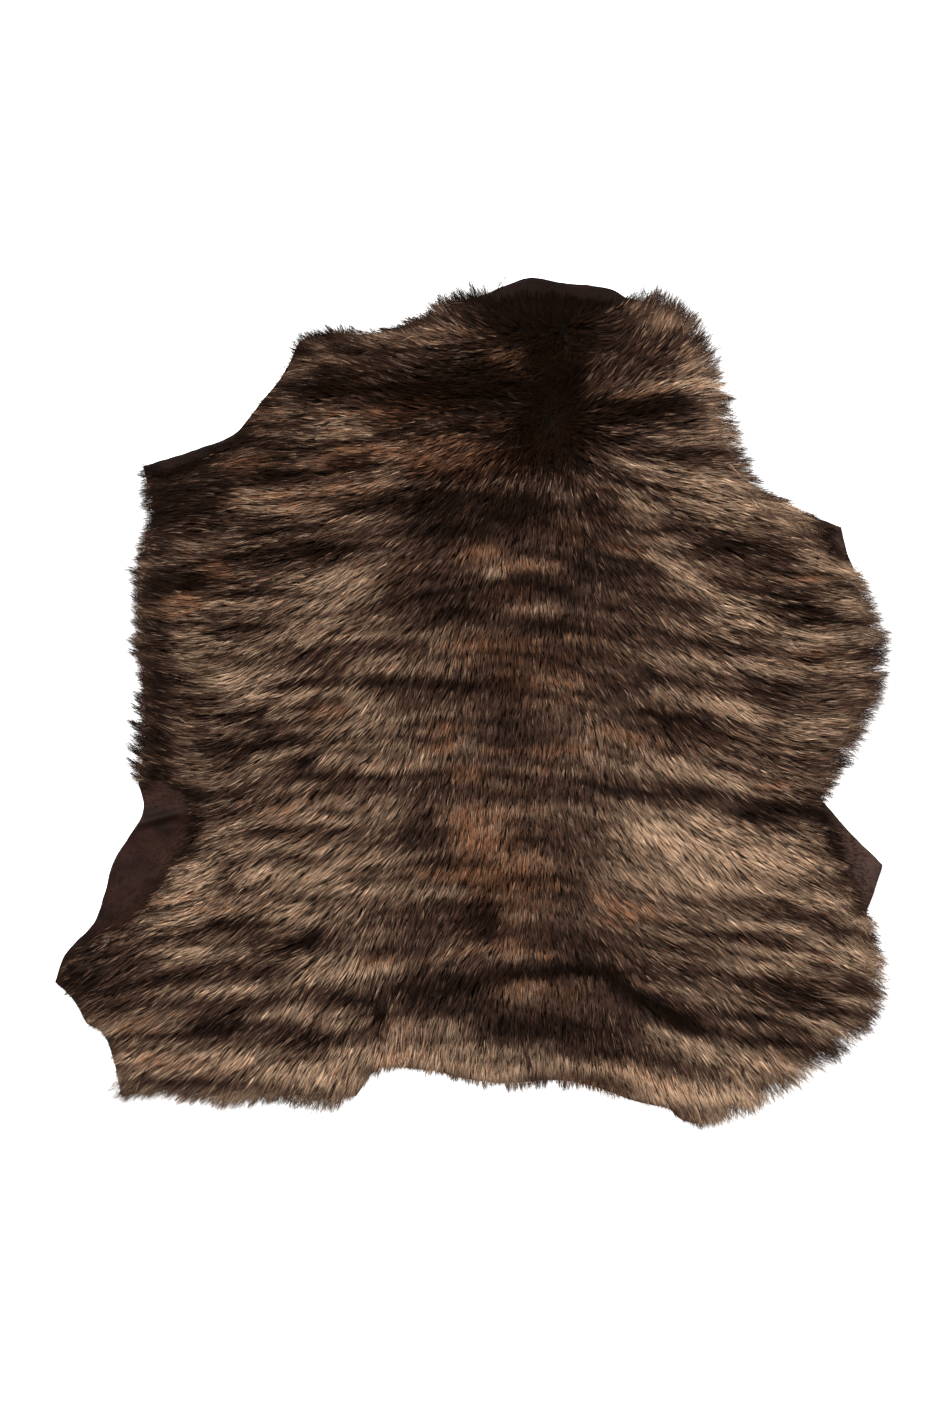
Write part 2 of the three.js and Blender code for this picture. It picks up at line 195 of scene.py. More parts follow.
# How the wool is combed. Each row is a line across the skin at y, with pairs of x and the
# heading of the hair there. The crown at x 80, y 297 sends the hair off on all sides.
COMBED = (
    (465, ((-2, 130), (31, 100), (99, 80), (155, 60), (199, 62))),
    (437, ((-25, 150), (65, 110), (143, 40), (211, 65), (239, 50))),
    (404, ((-170, 140), (-114, 165), (-47, 165), (31, 185), (76, 200), (132, 335), (188, 60),
        (255, 40))),
    (370, ((-204, 185), (-137, 160), (-58, 170), (31, 195), (82, 215), (143, 45), (199, 35),
        (267, 15))),
    (337, ((-237, 175), (-159, 170), (-81, 162), (-2, 178), (65, 170), (115, 35), (199, 12), (272, 3))),
    (303, ((-260, 185), (-148, 182), (-47, 190), (31, 190), (65, 200), (104, 350), (166, 2), (255, 0),
        (306, 355))),
    (269, ((-361, 195), (-305, 200), (-215, 185), (-125, 188), (-36, 205), (31, 228), (82, 268),
        (132, 325), (188, 345), (300, 357))),
    (236, ((-361, 188), (-271, 186), (-170, 187), (-81, 198), (-2, 228), (48, 252), (87, 270),
        (143, 315), (211, 335), (311, 350))),
    (202, ((-361, 190), (-249, 186), (-148, 193), (-58, 212), (9, 240), (65, 262), (132, 305),
        (199, 327), (289, 342), (379, 335))),
    (157, ((-385, 160), (-327, 180), (-226, 195), (-125, 207), (-50, 226), (0, 245), (50, 262),
        (87, 272), (130, 290), (170, 310), (220, 326), (280, 338), (340, 346), (412, 335))),
    (113, ((-389, 158), (-330, 182), (-260, 196), (-190, 205), (-137, 212), (-81, 228), (-25, 246),
        (20, 258), (65, 268), (110, 280), (155, 298), (200, 316), (240, 328), (300, 340), (360, 347),
        (430, 350))),
    (68, ((-383, 156), (-330, 179), (-260, 201), (-204, 210), (-148, 216), (-92, 234), (-36, 252),
        (20, 262), (65, 268), (110, 278), (155, 296), (200, 312), (250, 324), (310, 338), (370, 350),
        (457, 5))),
    (12, ((-372, 153), (-320, 181), (-260, 203), (-204, 213), (-148, 220), (-92, 238), (-36, 253),
        (20, 263), (65, 268), (110, 278), (155, 294), (200, 308), (245, 320), (300, 334), (356, 346),
        (446, 358))),
    (-44, ((-383, 147), (-330, 170), (-282, 192), (-237, 208), (-190, 217), (-137, 225), (-81, 240),
        (-25, 255), (30, 264), (65, 268), (110, 277), (155, 290), (200, 302), (250, 315), (300, 328),
        (360, 344), (423, 354))),
    (-89, ((-377, 145), (-320, 182), (-270, 207), (-226, 216), (-180, 219), (-130, 225), (-81, 239),
        (-25, 255), (30, 264), (65, 268), (110, 278), (155, 290), (200, 302), (250, 314), (300, 328),
        (356, 346), (401, 355))),
    (-134, ((-316, 194), (-270, 207), (-237, 215), (-180, 219), (-130, 224), (-81, 235), (-25, 251),
        (54, 267), (121, 284), (188, 302), (255, 317), (334, 334), (401, 345))),
    (-184, ((-394, 215), (-330, 194), (-282, 204), (-226, 215), (-170, 221), (-120, 229), (-81, 239),
        (-13, 256), (65, 270), (132, 290), (199, 307), (267, 316), (345, 330), (412, 342))),
    (-235, ((-405, 215), (-338, 194), (-290, 206), (-240, 214), (-193, 217), (-137, 226), (-69, 240),
        (-13, 252), (54, 268), (132, 298), (199, 312), (278, 324), (356, 334), (435, 325))),
    (-279, ((-433, 210), (-361, 201), (-305, 207), (-240, 211), (-193, 213), (-159, 215), (-114, 246),
        (-58, 246), (-2, 222), (54, 262), (110, 288), (166, 310), (244, 324), (323, 332), (435, 325))),
    (-324, ((-445, 212), (-361, 209), (-282, 215), (-204, 223), (-148, 231), (-92, 262), (-36, 243),
        (9, 250), (76, 268), (143, 285), (199, 316), (278, 324), (367, 333), (457, 330))),
    (-369, ((-383, 216), (-305, 223), (-237, 229), (-170, 237), (-125, 246), (-81, 264), (-13, 262),
        (65, 268), (132, 276), (188, 288), (244, 305), (323, 321), (412, 324))),
    (-414, ((-372, 220), (-293, 228), (-226, 234), (-159, 242), (-103, 256), (-36, 260), (31, 264),
        (99, 272), (155, 284), (222, 290), (289, 300), (356, 313), (401, 318))),
    (-453, ((-260, 228), (-170, 236), (31, 264), (188, 290), (267, 291), (323, 303))),
)


class Mark(NamedTuple):
    """A soft mark: its middle, half its length and width, its tone from -1 for black to 1 for
    pale tan, its tilt in degrees (rising to the right), and its share of rust hair."""

    x: float
    y: float
    half_length: float
    half_width: float
    tone: float
    tilt: float = 0.0
    rust: float = 0.0


# The brindle, laid on as soft marks over finer bands. Each row is a Mark.
# Some dark marks in this table are painted shade, not brindle: they lie along the hollows of HOLLOWS,
# in the crease across the lower back and in its dimples.
BRINDLE_AND_PAINTED_SHADE = {
    "broad patches": (
        (94, 350, 90, 50, -0.8, 80), (70, 425, 78, 24, -0.85, -3), (-38, 354, 88, 40, -0.6),
        (-70, 326, 50, 14, 0.12, 6, 0.9), (-150, 372, 55, 24, -0.45, 8), (199, 328, 55, 20, -0.6),
        (-316, 236, 50, 40, -0.6), (-354, -5, 120, 20, -0.65, 90), (-350, 200, 70, 22, -0.5, 90),
        (3, 208, 90, 32, -0.45), (60, 250, 60, 26, -0.5), (-410, -310, 50, 50, -0.35),
        (262, 350, 100, 17, 0.4, -65, 0.3), (250, -165, 110, 34, 0.44, -14, 0.15),
        (10, -405, 110, 17, 0.15, 0, 0.2), (-250, -415, 110, 24, 0.2, 0, 0.3),
        # (207, -346), (128, -306) and (190, -340): painted shade along the crease of the lower back.
        (-220, -190, 130, 55, 0.1, -4, 0.2), (207, -346, 62, 10, -1, -29),
        (128, -306, 50, 7, -0.85, -4), (60, 316, 85, 26, -0.55), (90, 412, 60, 34, -0.55),
        (190, -340, 80, 22, -0.35, -26), (-195, 190, 120, 60, -0.14), (40, -205, 50, 40, 0.12, 0, 0.75),
        (-150, -120, 100, 30, 0.08, 0, 0.3), (285, 258, 50, 38, 0.2, 0, 0.25),
        (325, 200, 70, 24, 0.14, -8, 0.2), (-345, -437, 60, 10, -0.5, -4),
        (-262, -262, 75, 9, 0.22, 0, 0.2),
    ),
    "neck": (
        (-204, 366, 27, 6, 0.7, 12, 0.3), (-166, 387, 29, 6, 0.6, -35, 0.3),
        (-142, 300, 34, 8, 0.65, 2, 0.4), (-159, 318, 25, 6, 0.4, 0, 0.5),
        (-120, 274, 65, 8, 0.5, 0, 0.6), (-240, 324, 29, 9, 0.4, 5, 0.5),
        (-36, 410, 47, 11, 0.3, 5, 0.5), (-36, 288, 40, 8, 0.45, 0, 0.7),
        (37, 385, 25, 13, 0.6, 5, 0.7), (31, 310, 27, 4, 0.55, 0, 1), (175, 440, 29, 8, 0.4, 15, 0.4),
        (205, 417, 25, 13, 0.5, 50, 0.4), (199, 348, 56, 7, 0.65, 6, 0.6),
        (255, 352, 36, 9, 0.7, 3, 0.3), (233, 291, 49, 6, 0.55, 3, 0.3),
        (115, 341, 27, 7, 0.35, 20, 0.6), (244, 314, 34, 4, 0.3, 0, 0.3), (85, 292, 40, 34, -1),
        (98, 360, 27, 60, -0.95, 14), (-165, 346, 38, 16, -1), (186, 322, 58, 13, -0.75, 10),
        (-48, 350, 66, 20, -0.5, 8), (-2, 370, 45, 11, -0.5), (54, 449, 45, 16, -0.8),
        (132, 409, 40, 13, -0.5), (211, 393, 45, 9, -0.4, 25), (166, 292, 45, 8, -0.5),
    ),
    "shoulders": (
        (-260, 262, 31, 8, 0.5, 6, 0.8), (-193, 231, 110, 6, 0.9, 4, 0.5),
        (-195, 212, 38, 9, 0.8, 4, 0.4), (-123, 200, 40, 9, 0.5, 2, 0.3),
        (-255, 180, 45, 7, 0.7, -4, 0.2), (-314, 170, 43, 8, 0.7, -3, 0.3),
        (-291, 145, 18, 9, 0.55, 0, 1), (-150, 142, 56, 9, 0.6, 15, 0.2),
        (-148, 108, 52, 11, 0.6, 10, 0.2), (-260, 106, 103, 6, 0.5, 2, 0.4),
        (-332, 113, 22, 9, 0.7, 0, 1), (7, 160, 29, 12, 0.55, 10, 0.8), (27, 139, 17, 6, 0.85, 5, 0.2),
        (-25, 263, 47, 11, 0.35, 8, 0.9), (45, 240, 38, 10, 0.7, 0, 0.15),
        (99, 230, 25, 9, 0.5, -20, 0.2), (208, 257, 69, 8, 0.8, -8, 0.2),
        (280, 240, 40, 8, 0.75, -2, 0.25), (188, 219, 25, 10, 0.45, -30, 0.2),
        (255, 216, 27, 7, 0.5, -15, 0.3), (325, 219, 52, 9, 0.65, -5, 0.3),
        (298, 191, 58, 6, 0.55, -6, 0.4), (367, 195, 25, 7, 0.6, -10, 0.4),
        (175, 165, 31, 7, 0.5, -15, 0.7), (242, 138, 34, 9, 0.75, -24, 0.2),
        (408, 151, 43, 11, 0.65, -20, 0.2), (381, 135, 27, 6, 0.65, -4, 0.7),
        (280, 110, 47, 8, 0.5, -18, 0.25), (59, 147, 40, 8, 0.5, 0, 0.6), (72, 97, 29, 7, 0.6, 0, 0.4),
        (423, 110, 27, 9, 0.5, -5, 0.2), (188, 198, 29, 8, 0.4, -28, 0.2),
        (-344, 99, 34, 6, 0.5, 0, 0.6), (-394, 174, 16, 9, 0.5, 0, 0.2), (-224, 251, 25, 11, -1),
        (-137, 262, 29, 11, -0.8), (-327, 218, 47, 22, -0.9), (-349, 258, 34, 13, -0.6),
        (-332, 135, 47, 12, -1), (-226, 151, 67, 11, -0.55), (-254, 81, 47, 7, -0.9),
        (278, 169, 31, 9, -0.8), (272, 274, 58, 7, -0.6), (76, 119, 38, 9, -0.6),
        (82, 81, 38, 10, -0.7), (-81, 219, 56, 13, -0.6), (-25, 225, 45, 13, -0.5),
        (54, 208, 45, 18, -0.8), (-193, 169, 78, 8, -0.5), (-69, 124, 45, 18, -0.35),
        (99, 124, 67, 11, -0.4), (188, 113, 45, 13, -0.35, -20), (323, 129, 56, 7, -0.5, -12),
        (323, 157, 56, 7, -0.5, -10),
    ),
    "back": (
        (-282, 61, 52, 7, 0.8, -7, 0.2), (-184, 64, 67, 6, 0.55, -2, 0.3),
        (-262, 18, 40, 9, 0.95, 0, 0.15), (-202, 29, 27, 6, 0.75, 0, 0.15),
        (-209, 5, 54, 6, 0.7, 3, 0.3), (-327, 43, 29, 9, 0.45, 0, 0.2),
        (-269, -38, 27, 9, 0.75, -4, 0.15), (-213, -18, 18, 9, 0.7, 10, 0.2),
        (-161, -16, 29, 7, 0.65, 5, 0.9), (-161, -40, 31, 6, 0.6, 4, 0.3),
        (-120, -13, 25, 13, 0.85, -5, 0.15), (-103, 33, 38, 6, 0.6, 0, 0.6),
        (-53, 32, 38, 7, 0.45, 0, 0.4), (-157, -68, 22, 10, 0.8, -5, 0.15),
        (-224, -67, 27, 7, 0.6, 5, 0.3), (-92, -77, 52, 7, 0.7, -4, 0.4),
        (-45, -58, 27, 7, 0.6, 5, 0.9), (-29, -35, 29, 6, 0.5, 0, 0.9), (-36, -17, 56, 4, 0.5, 0, 0.4),
        (-7, -89, 18, 8, 0.6, 10, 1), (-215, -100, 38, 7, 0.5, 0, 0.3), (85, 63, 58, 4, 0.5, 0, 0.8),
        (108, 13, 36, 7, 0.75, -2, 0.7), (99, -7, 56, 4, 0.35, 0, 0.6), (101, -61, 34, 6, 0.65, 0, 0.9),
        (90, -83, 38, 4, 0.5, 0, 0.5), (164, -45, 36, 7, 0.55, -10, 0.8),
        (220, -69, 29, 8, 0.8, -22, 0.3), (280, -90, 45, 8, 0.75, -24, 0.3),
        (347, -97, 36, 4, 0.5, 0, 0.8), (314, 86, 49, 10, 0.9, -8, 0.15),
        (410, 70, 62, 10, 1.0, 4, 0.15), (250, 76, 45, 6, 0.55, -8, 0.5), (376, 54, 54, 6, 0.6, 4, 0.4),
        (261, 42, 49, 7, 0.8, -6, 0.4), (339, 34, 52, 7, 0.7, -12, 0.3), (421, 36, 40, 8, 0.85, 0, 0.2),
        (224, 5, 22, 8, 0.6, -10, 0.15), (287, -5, 40, 9, 0.65, -12, 0.3),
        (317, -24, 67, 9, 0.65, -20, 0.35), (423, -13, 22, 8, 0.65, 0, 0.25),
        (394, -35, 31, 6, 0.55, -5, 0.2), (37, -61, 34, 4, 0.4, 0, 0.9), (9, 57, 45, 6, 0.4, 0, 0.9),
        (65, 12, 22, 4, 0.35, 0, 0.6), (99, 40, 45, 9, -0.5), (339, 11, 43, 8, -0.9),
        (255, 64, 52, 7, -0.6, -6), (255, -31, 47, 10, -0.8, -6), (171, 14, 36, 10, -0.6, -8),
        (437, -3, 27, 9, -0.7), (356, -72, 38, 10, -0.6, -8), (37, 1, 18, 67, -0.35),
        (-47, 68, 45, 16, -0.3), (-97, 54, 45, 8, -0.45), (-159, -100, 27, 7, -0.4),
        (-361, 57, 18, 67, -0.5), (-361, -50, 22, 45, -0.6), (-305, 1, 29, 9, -0.5),
        (-226, -50, 67, 6, -0.6), (-293, -72, 45, 13, -0.6), (-159, 45, 45, 9, -0.45),
        (-170, 17, 38, 7, -0.5), (-69, 12, 56, 9, -0.5), (379, 90, 34, 7, -0.4), (435, 57, 45, 4, -0.5),
        (401, 12, 45, 4, -0.3), (300, -50, 56, 8, -0.5, -20), (188, -16, 34, 8, -0.4),
        (367, 1, 45, 7, -0.3),
    ),
    "haunches": (
        (-277, -148, 27, 8, 0.55, 8, 0.2), (-213, -128, 29, 8, 0.65, 12, 0.5),
        (-137, -135, 58, 9, 0.7, 4, 0.25), (-243, -167, 65, 7, 0.7, 6, 0.2),
        (-123, -179, 45, 9, 0.6, 8, 0.2), (-316, -198, 27, 13, 0.8, 0, 0.3),
        (-202, -198, 54, 12, 0.85, -8, 0.15), (-97, -216, 110, 7, 0.7, -3, 0.25),
        (-22, -199, 45, 7, 0.7, 0, 1), (9, -163, 34, 16, 0.6, 0, 0.85), (-2, -136, 38, 18, 0.6, 0, 0.7),
        (-332, -248, 34, 6, 0.85, 3, 0.3), (-265, -236, 74, 7, 0.65, 0, 0.5),
        (-202, -246, 27, 8, 0.75, 0, 0.15), (-336, -225, 29, 6, 0.55, 2, 0.5),
        (-309, -285, 60, 7, 0.85, 2, 0.2), (-161, -310, 31, 7, 0.55, 0, 0.3),
        (-276, -325, 40, 9, 0.7, 4, 0.2), (-105, -266, 22, 7, 0.4, 0, 0.5),
        (56, -188, 34, 9, 0.65, 0, 0.7), (54, -128, 38, 7, 0.4, 0, 0.6), (65, -212, 38, 4, 0.4, 0, 0.8),
        (56, -244, 31, 9, 0.4, 0, 0.5), (205, -152, 38, 13, 0.65, -18, 0.15),
        (273, -141, 36, 13, 0.8, -28, 0.15), (289, -173, 81, 15, 1, -14, 0.1),
        (358, -181, 54, 13, 0.85, -14, 0.1), (367, -158, 34, 7, 0.6, -5, 0.3),
        (255, -210, 29, 9, 0.55, -10, 0.2), (396, -225, 36, 9, 0.95, -6, 0.1),
        (323, -210, 34, 9, 0.5, -10, 0.1), (160, -231, 36, 11, 0.7, -30, 0.7),
        (205, -241, 38, 9, 0.6, -8, 0.6), (318, -253, 60, 7, 0.85, -3, 0.25),
        (284, -236, 40, 6, 0.65, -4, 0.4), (432, -249, 22, 11, 0.85, -25, 0.1),
        (396, -273, 47, 8, 0.7, -20, 0.15), (287, -278, 34, 7, 0.5, -4, 0.2),
        (340, -297, 43, 6, 0.85, 8, 0.2), (440, -288, 25, 9, 0.6, -20, 0.2),
        (166, -190, 67, 16, 0.45, -25, 0.3), (244, -190, 56, 13, 0.6, -30, 0.15),
        (351, -127, 63, 12, -1), (216, -106, 101, 9, -0.7, -5), (-53, -154, 38, 13, -0.8),
        # (9, -246) and (-179, -268): painted shade in dimples of HOLLOWS.
        (9, -246, 20, 27, -0.8), (-179, -268, 16, 11, -1, 40), (-264, -213, 27, 7, -0.8, -4),
        (300, -266, 40, 6, -0.6), (31, -111, 29, 7, -0.5), (93, -111, 45, 13, -0.6),
        (-47, -111, 67, 9, -0.4), (-293, -167, 34, 7, -0.4), (-193, -218, 38, 6, -0.4),
        (-58, -229, 67, 8, -0.4), (-81, -274, 49, 10, -0.6), (-260, -263, 78, 9, -0.2),
        (-394, -291, 56, 11, -0.5), (54, -268, 45, 6, -0.6), (244, -279, 56, 10, -0.5, -8),
        (323, -227, 56, 7, -0.6, -4), (423, -240, 25, 7, -0.6), (255, -229, 56, 6, -0.4, -4),
        (54, -162, 45, 6, -0.5), (76, -201, 56, 4, -0.6), (121, -167, 34, 22, -0.4),
        (143, -274, 56, 7, -0.4, -10),
    ),
    "tail": (
        (9, -279, 60, 7, 0.6, 10, 0.7), (65, -288, 34, 7, 0.5, 0, 0.6),
        (-112, -297, 27, 8, 0.5, 0, 0.8), (58, -329, 22, 7, 0.5, 5, 0.6),
        (177, -315, 36, 7, 0.65, -18, 0.4), (269, -335, 29, 8, 0.5, -10, 0.3),
        (328, -369, 29, 9, 0.4, -15, 0.2), (403, -369, 27, 9, 0.65, -8, 0.2),
        (244, -382, 49, 10, 0.9, -26, 0.25), (-383, -367, 29, 8, 0.55, 4, 0.6),
        (-344, -403, 43, 9, 0.55, -8, 0.6), (-291, -403, 40, 9, 0.6, 0, 0.3),
        (-327, -416, 67, 6, 0.6, -8, 0.5), (-224, -425, 38, 16, 0.7, 0, 0.3),
        (-159, -423, 36, 20, 0.75, 0, 0.15), (-137, -394, 25, 9, 0.5, 0, 0.3),
        (-78, -403, 45, 9, 0.85, 4, 0.5), (-83, -372, 27, 8, 0.65, 0, 0.5),
        (9, -394, 40, 8, 0.6, 0, 0.2), (31, -421, 36, 9, 0.75, 0, 0.35),
        (-25, -412, 34, 8, 0.65, 0, 0.3), (116, -414, 40, 8, 0.6, -4, 0.35),
        (197, -427, 63, 12, 0.9, -18, 0.5), (280, -443, 45, 13, 0.75, -8, 0.35),
        (327, -409, 34, 10, 0.5, -10, 0.4), (99, -391, 40, 6, 0.4, 0, 0.2),
        (-193, -347, 45, 8, 0.45, 5, 0.2), (-394, -307, 34, 9, 0.25, 10, 0.1),
        (367, -419, 27, 7, 0.55, -20, 0.4), (418, -335, 29, 9, 0.35, -20, 0.2),
        # (-137, -339), (-103, -360), (202, -341), and (110, -306) on the next row: painted shade in the
        # hollows and along the crease.
        (-137, -339, 38, 10, -0.9, -10), (-103, -360, 13, 18, -0.9), (202, -341, 67, 12, -1, -26),
        (110, -306, 67, 7, -0.8, -2), (-287, -365, 38, 20, -0.8, 5), (339, -324, 56, 10, -0.7, -6),
        (-428, -319, 34, 27, -0.6), (-249, -300, 67, 9, -0.6), (-204, -335, 45, 7, -0.4),
        (-193, -380, 45, 9, -0.5), (-271, -431, 90, 7, -0.7, -5), (-36, -335, 67, 25, -0.6),
        # (54, -311): painted shade along the crease of the lower back.
        (54, -369, 56, 20, -0.8), (143, -375, 56, 16, -0.5), (54, -311, 56, 7, -0.7),
        (143, -397, 56, 10, -0.7, -6), (233, -408, 56, 9, -0.5, -18), (367, -386, 67, 11, -0.6, -18),
        (300, -352, 56, 9, -0.4, -20), (435, -319, 25, 13, -0.5, -10),
    ),
}

# How strongly the marks of each group show.
MARK_STRENGTHS = {
    "broad patches": 1.0,
    "neck": 0.9,
    "shoulders": 0.75,
    "back": 0.62,
    "haunches": 0.74,
    "tail": 0.9,
}

LEATHER_THICKNESS = 2.0
EDGE_RUN = 8.0  # distance beyond the edge over which the hair comes down to the floor
PARTING = 0.35  # air between the leather and the under wool
EDGE_STEP = 4.0  # distance between the points of the outlines
FOOT_INSET = 3.0  # from the cut edge to the foot of the wool on a furry edge
RAGGED = 0.35  # how far the cut edge strays from its smooth line
LEATHER_STEP = 13.0  # distance between the points of the leather's surface under the wool
BARE_STEP = 2.6  # and where it shows
UNDER_STEP = 11.0  # and of the under wool's surface

FIELD_SPAN = 560.0  # the fields reach this far from the middle each way
FIELD_STEP = 4.0
TONE_STEP = 2.0

RIM_PILE = 7.0  # height of the wool along its foot line
RIM_RUN = 48.0  # distance in from the foot line over which it gains its full height
OUTER_PILE = 1.6  # height of the hair where it lies beyond the edge
OUTER_RUN = 24.0  # distance beyond the edge over which it comes down to that
LUMP = 3.8  # how far the tufts rise and fall about the wool's height
LUMP_PITCH = 100.0
UNDER_SHARE = 0.28  # height of the under wool, as a share of the wool's
UNDER_INSET = 1.0  # from the foot line to its edge

# Places where the hair parts to all sides: x, y and radius.
CROWNS = ((82, 297, 36), (88, 340, 26), (94, 385, 34), (92, 425, 26))

SPINE_X = 60.0
SPINE_RUN = 120.0
SPINE_SHORTER = 0.32  # how much shorter the hair is along the spine, as a share
RIM_LONGER = 0.55  # how much longer the hair is along the foot line, as a share

SHORT_LENGTH = 12.0  # length of the hair where it meets the leather that shows
SHORT_RUN = 42.0  # distance from there over which it gains its full length
LOCK_PITCH = 5.5  # width of the streaks in which the tufts rise and fall together
BUNDLES = 5  # bundles of strands in a tuft
DARK_HAIRS = 0.17  # share of dark hairs that stand among pale ones
PALE_HAIRS = 0.11  # and of pale hairs among dark ones
STATIONS = (0.0, 0.55, 1.0)  # places along a strand, as shares of its length
RISE = 1.7  # how early a strand reaches its height: 1 is at its tip, more is sooner
LEAST_HEIGHTS = (0.35, 0.4)  # least height of a strand's root, and what its tip adds
LEAST_HEIGHTS_SINGLE = (0.3, 0.3)  # the same for single hairs
PATH_POINTS = 9  # points of the path that a tuft follows

WISP_HEIGHT = 5.0  # height of a wisp at its root
WISP_FULL = 1.4  # how many times the hairs and the width of a wisp's row it has
WISP_FAN = 1.9  # and how many times its fan
WISP_WIDTHS = (0.34, 0.62)  # of its hairs
WISP_BEND = 0.10
STRAYS = 10000  # single hairs along the furry edges
STRAY_INSETS = (3, 22)  # from the edge to their roots
STRAY_REACHES = (0.45, 1.35)  # shares of the reach of the other hair
STRAY_EXTRAS = (1, 9)  # and what is added to it
STRAY_TURN = 0.24
STRAY_STANDS = (0.5, 1.15)
STRAY_WIDTHS = (0.32, 0.6)
STRAY_GLOW = (0.5, 0.15)  # the middle and the spread of the brightness
SINGLE_BEND = 0.22
TAIL_HALF = 140  # half the width of the tail's edge, which has no stray hair
TAIL_TOP = -380
NAP_PITCH = 1.9  # distance between the short hairs on the bare leather
NAP_RUN = 14.0  # distance from the wool over which they thin out
NAP_LEAST = 0.12  # share of them that stays furthest out
NAP_LENGTHS = (5, 11)
NAP_TURN = 0.3
NAP_STAND = 0.14
NAP_WIDTHS = (0.35, 0.6)
NAP_GLOW = (0.62, 0.12)
NAP_COLOUR = 0.43  # its first colour coordinate, a dark rust

# Noise comes in layers. Each row is a share, the size of the lumps along x and y, and a seed.
WANDER = ((0.17, 62, 48, 5), (0.13, 26, 22, 6))  # turns the hair, in radians
BAND_WAVE = ((4, 70, 50, 15),)  # bends the bands
BANDS = ((0.6, 80, 6.8, 11), (0.4, 44, 4.6, 12))
PATCHES = ((0.05, 120, 60, 13),)
RUST_PATCHES = ((0.20, 70, 45, 14),)
RUST_BANDS = ((0.22, 60, 8, 16),)
EDGE_STRAY = ((1, 9, 9, 41), (1, 31, 9, 42))
RIPPLES = ((0.35, 16, 11, 43), (0.2, 7, 6, 44))  # of the leather that shows
UNDER_LUMPS = ((0.35, 9, 7, 51),)
SHADE_WAVE_X = ((3.0, 21, 17, 31),)  # moves the place where a strand takes its shade
SHADE_WAVE_Y = ((2.5, 33, 19, 32),)
WISP_LUMPS = ((1, 10, 10, 63),)
LOCK_SEED = 61

BAND_SLOPE_RIGHT = 0.15  # how steeply the bands come down to the right of the middle
BAND_SLOPE_LEFT = 0.04  # and to its left
BAND_SLOPE_RUN = 150.0
MID_TONE = 0.328  # tone of the wool from 0 for black to 1 for pale, without its bands
SPINE_DARKER = 0.065
NECK_DARKER = 0.09  # how much darker it is at NECK_SPAN up from the middle
NECK_SPAN = 400
BAND_CONTRAST = 0.42
SPINE_FLATTER = 0.20  # how much less of it there is along the spine
BAND_TONES = (0.04, 0.75)  # limits of the tone under the marks
MARK_REACH = 2.4  # how far a mark is worked out, in half lengths
MARK_GAIN = 0.95  # how fully the palest mark hides what is under it
RUST = 0.14  # how likely rust hair is, before its own noise and marks
SPINE_RUST = 0.22
SPINE_RUST_RUN = 100.0
SHOULDER_RUST = (0.20, -60, 280, 190, 90)  # how much, x, y and half sizes
RUST_RANGE = (0.21, 0.60)  # where rust hair starts, and how soon it is at its most
RUST_SHARES = (0.08, 0.80)  # its least share, and what is added at its most

# The hair is darker where it meets the leather that shows, less so at the hind flaps and at
# the left of the neck.
BARE_TONE = 0.35  # share of its own tone that it keeps there
BARE_TONE_HIND = 0.35  # what is added at the hind flaps
BARE_TONE_NECK = 0.4  # and at the left of the neck
HIND_FROM = (-150, 40)  # y where the hind flaps begin, and the run in which that counts
NECK_FROM = (290, 20)  # the same for the left of the neck
NECK_TO = -100  # and the x where that ends
BARE_RUN = 30.0  # distance from the leather in which it is darker
BARE_RIM = 22.0  # distance from the foot line over which it gains its own tone

# Where on the skin a strand takes its shade, and how it differs from its neighbours.
SHADE_SLIDE = 2.6  # spread along the hair
SHADE_DRIFT = 1.4  # spread across it
SHADE_PULL = 0.45  # how far towards its tip a strand is of one shade
SPINE_PULL = 0.4  # what is added along the spine
SPINE_CALM = 0.5  # how much less the strands differ there
CALM_TOP = 235.0  # and up to where, with the run in which it ends
CALM_RUN = 60.0
TONE_SPREAD = (0.02, 0.09)  # for all hair, and per unit of tone
DARK_HAIR_DROP = 0.58
PALE_HAIR_GAIN = 0.26
PALE_HAIR_TONES = (0.03, 0.12)  # tone from which pale hairs show, and the run of it
MID_GLOW = 0.55  # brightness of plain hair
ROOT_SHADED_GLOW = 0.30  # share of it at the root, darkened as painted shade down in the wool
ROOT_RUN = 0.62  # share of the strand over which that painted root shade fades out

# The tufts. Spreads of two numbers are for the bundles and for the strands in them.
CROWN_PITCH = 0.62  # pitch of the tufts round the crown, as a share
CROWN_LENGTH = 0.6  # and their length
TUFT_TURN = 0.07  # spread of the tufts' headings, in radians
CROWN_TURN = 0.6  # and round the crown
PATH_LENGTH = 1.3  # length of a tuft's path, in hair lengths
TUFT_LENGTHS = (0.8, 1.18)  # shares of the hair's length
STRAND_LENGTHS = (0.68, 1.1)  # shares of the tuft's
FRINGE = (0.30, 0.97)  # least share of the reach past the edge, and what wisps add
SHORTEST = 5.0  # least length of the tufts that the rim cuts short
AHEAD = (2.4, 0.8)
ASIDE = (2.1, 0.36)
SPLAY = (1.1, 0.4)  # how far their tips part
STAND = 0.80  # height of a tuft, as a share of the pile
LOCK_STAND = 0.15
STAND_SPREAD = 0.08
GLOW = 0.58  # brightness of a tuft
# Painted shade: tufts that stand low in the lock streaks are darker, for the shade between the locks.
LOCK_PAINTED_SHADE = 0.07
GLOW_SPREAD = 0.06
STRAND_GLOW = (0.09, 0.07)
RIM_WIDTH = 0.58  # width of a strand at the rim, as a share
RIM_WIDTH_RUN = 40.0
TWIST = 0.65  # most roll of a strand, in radians

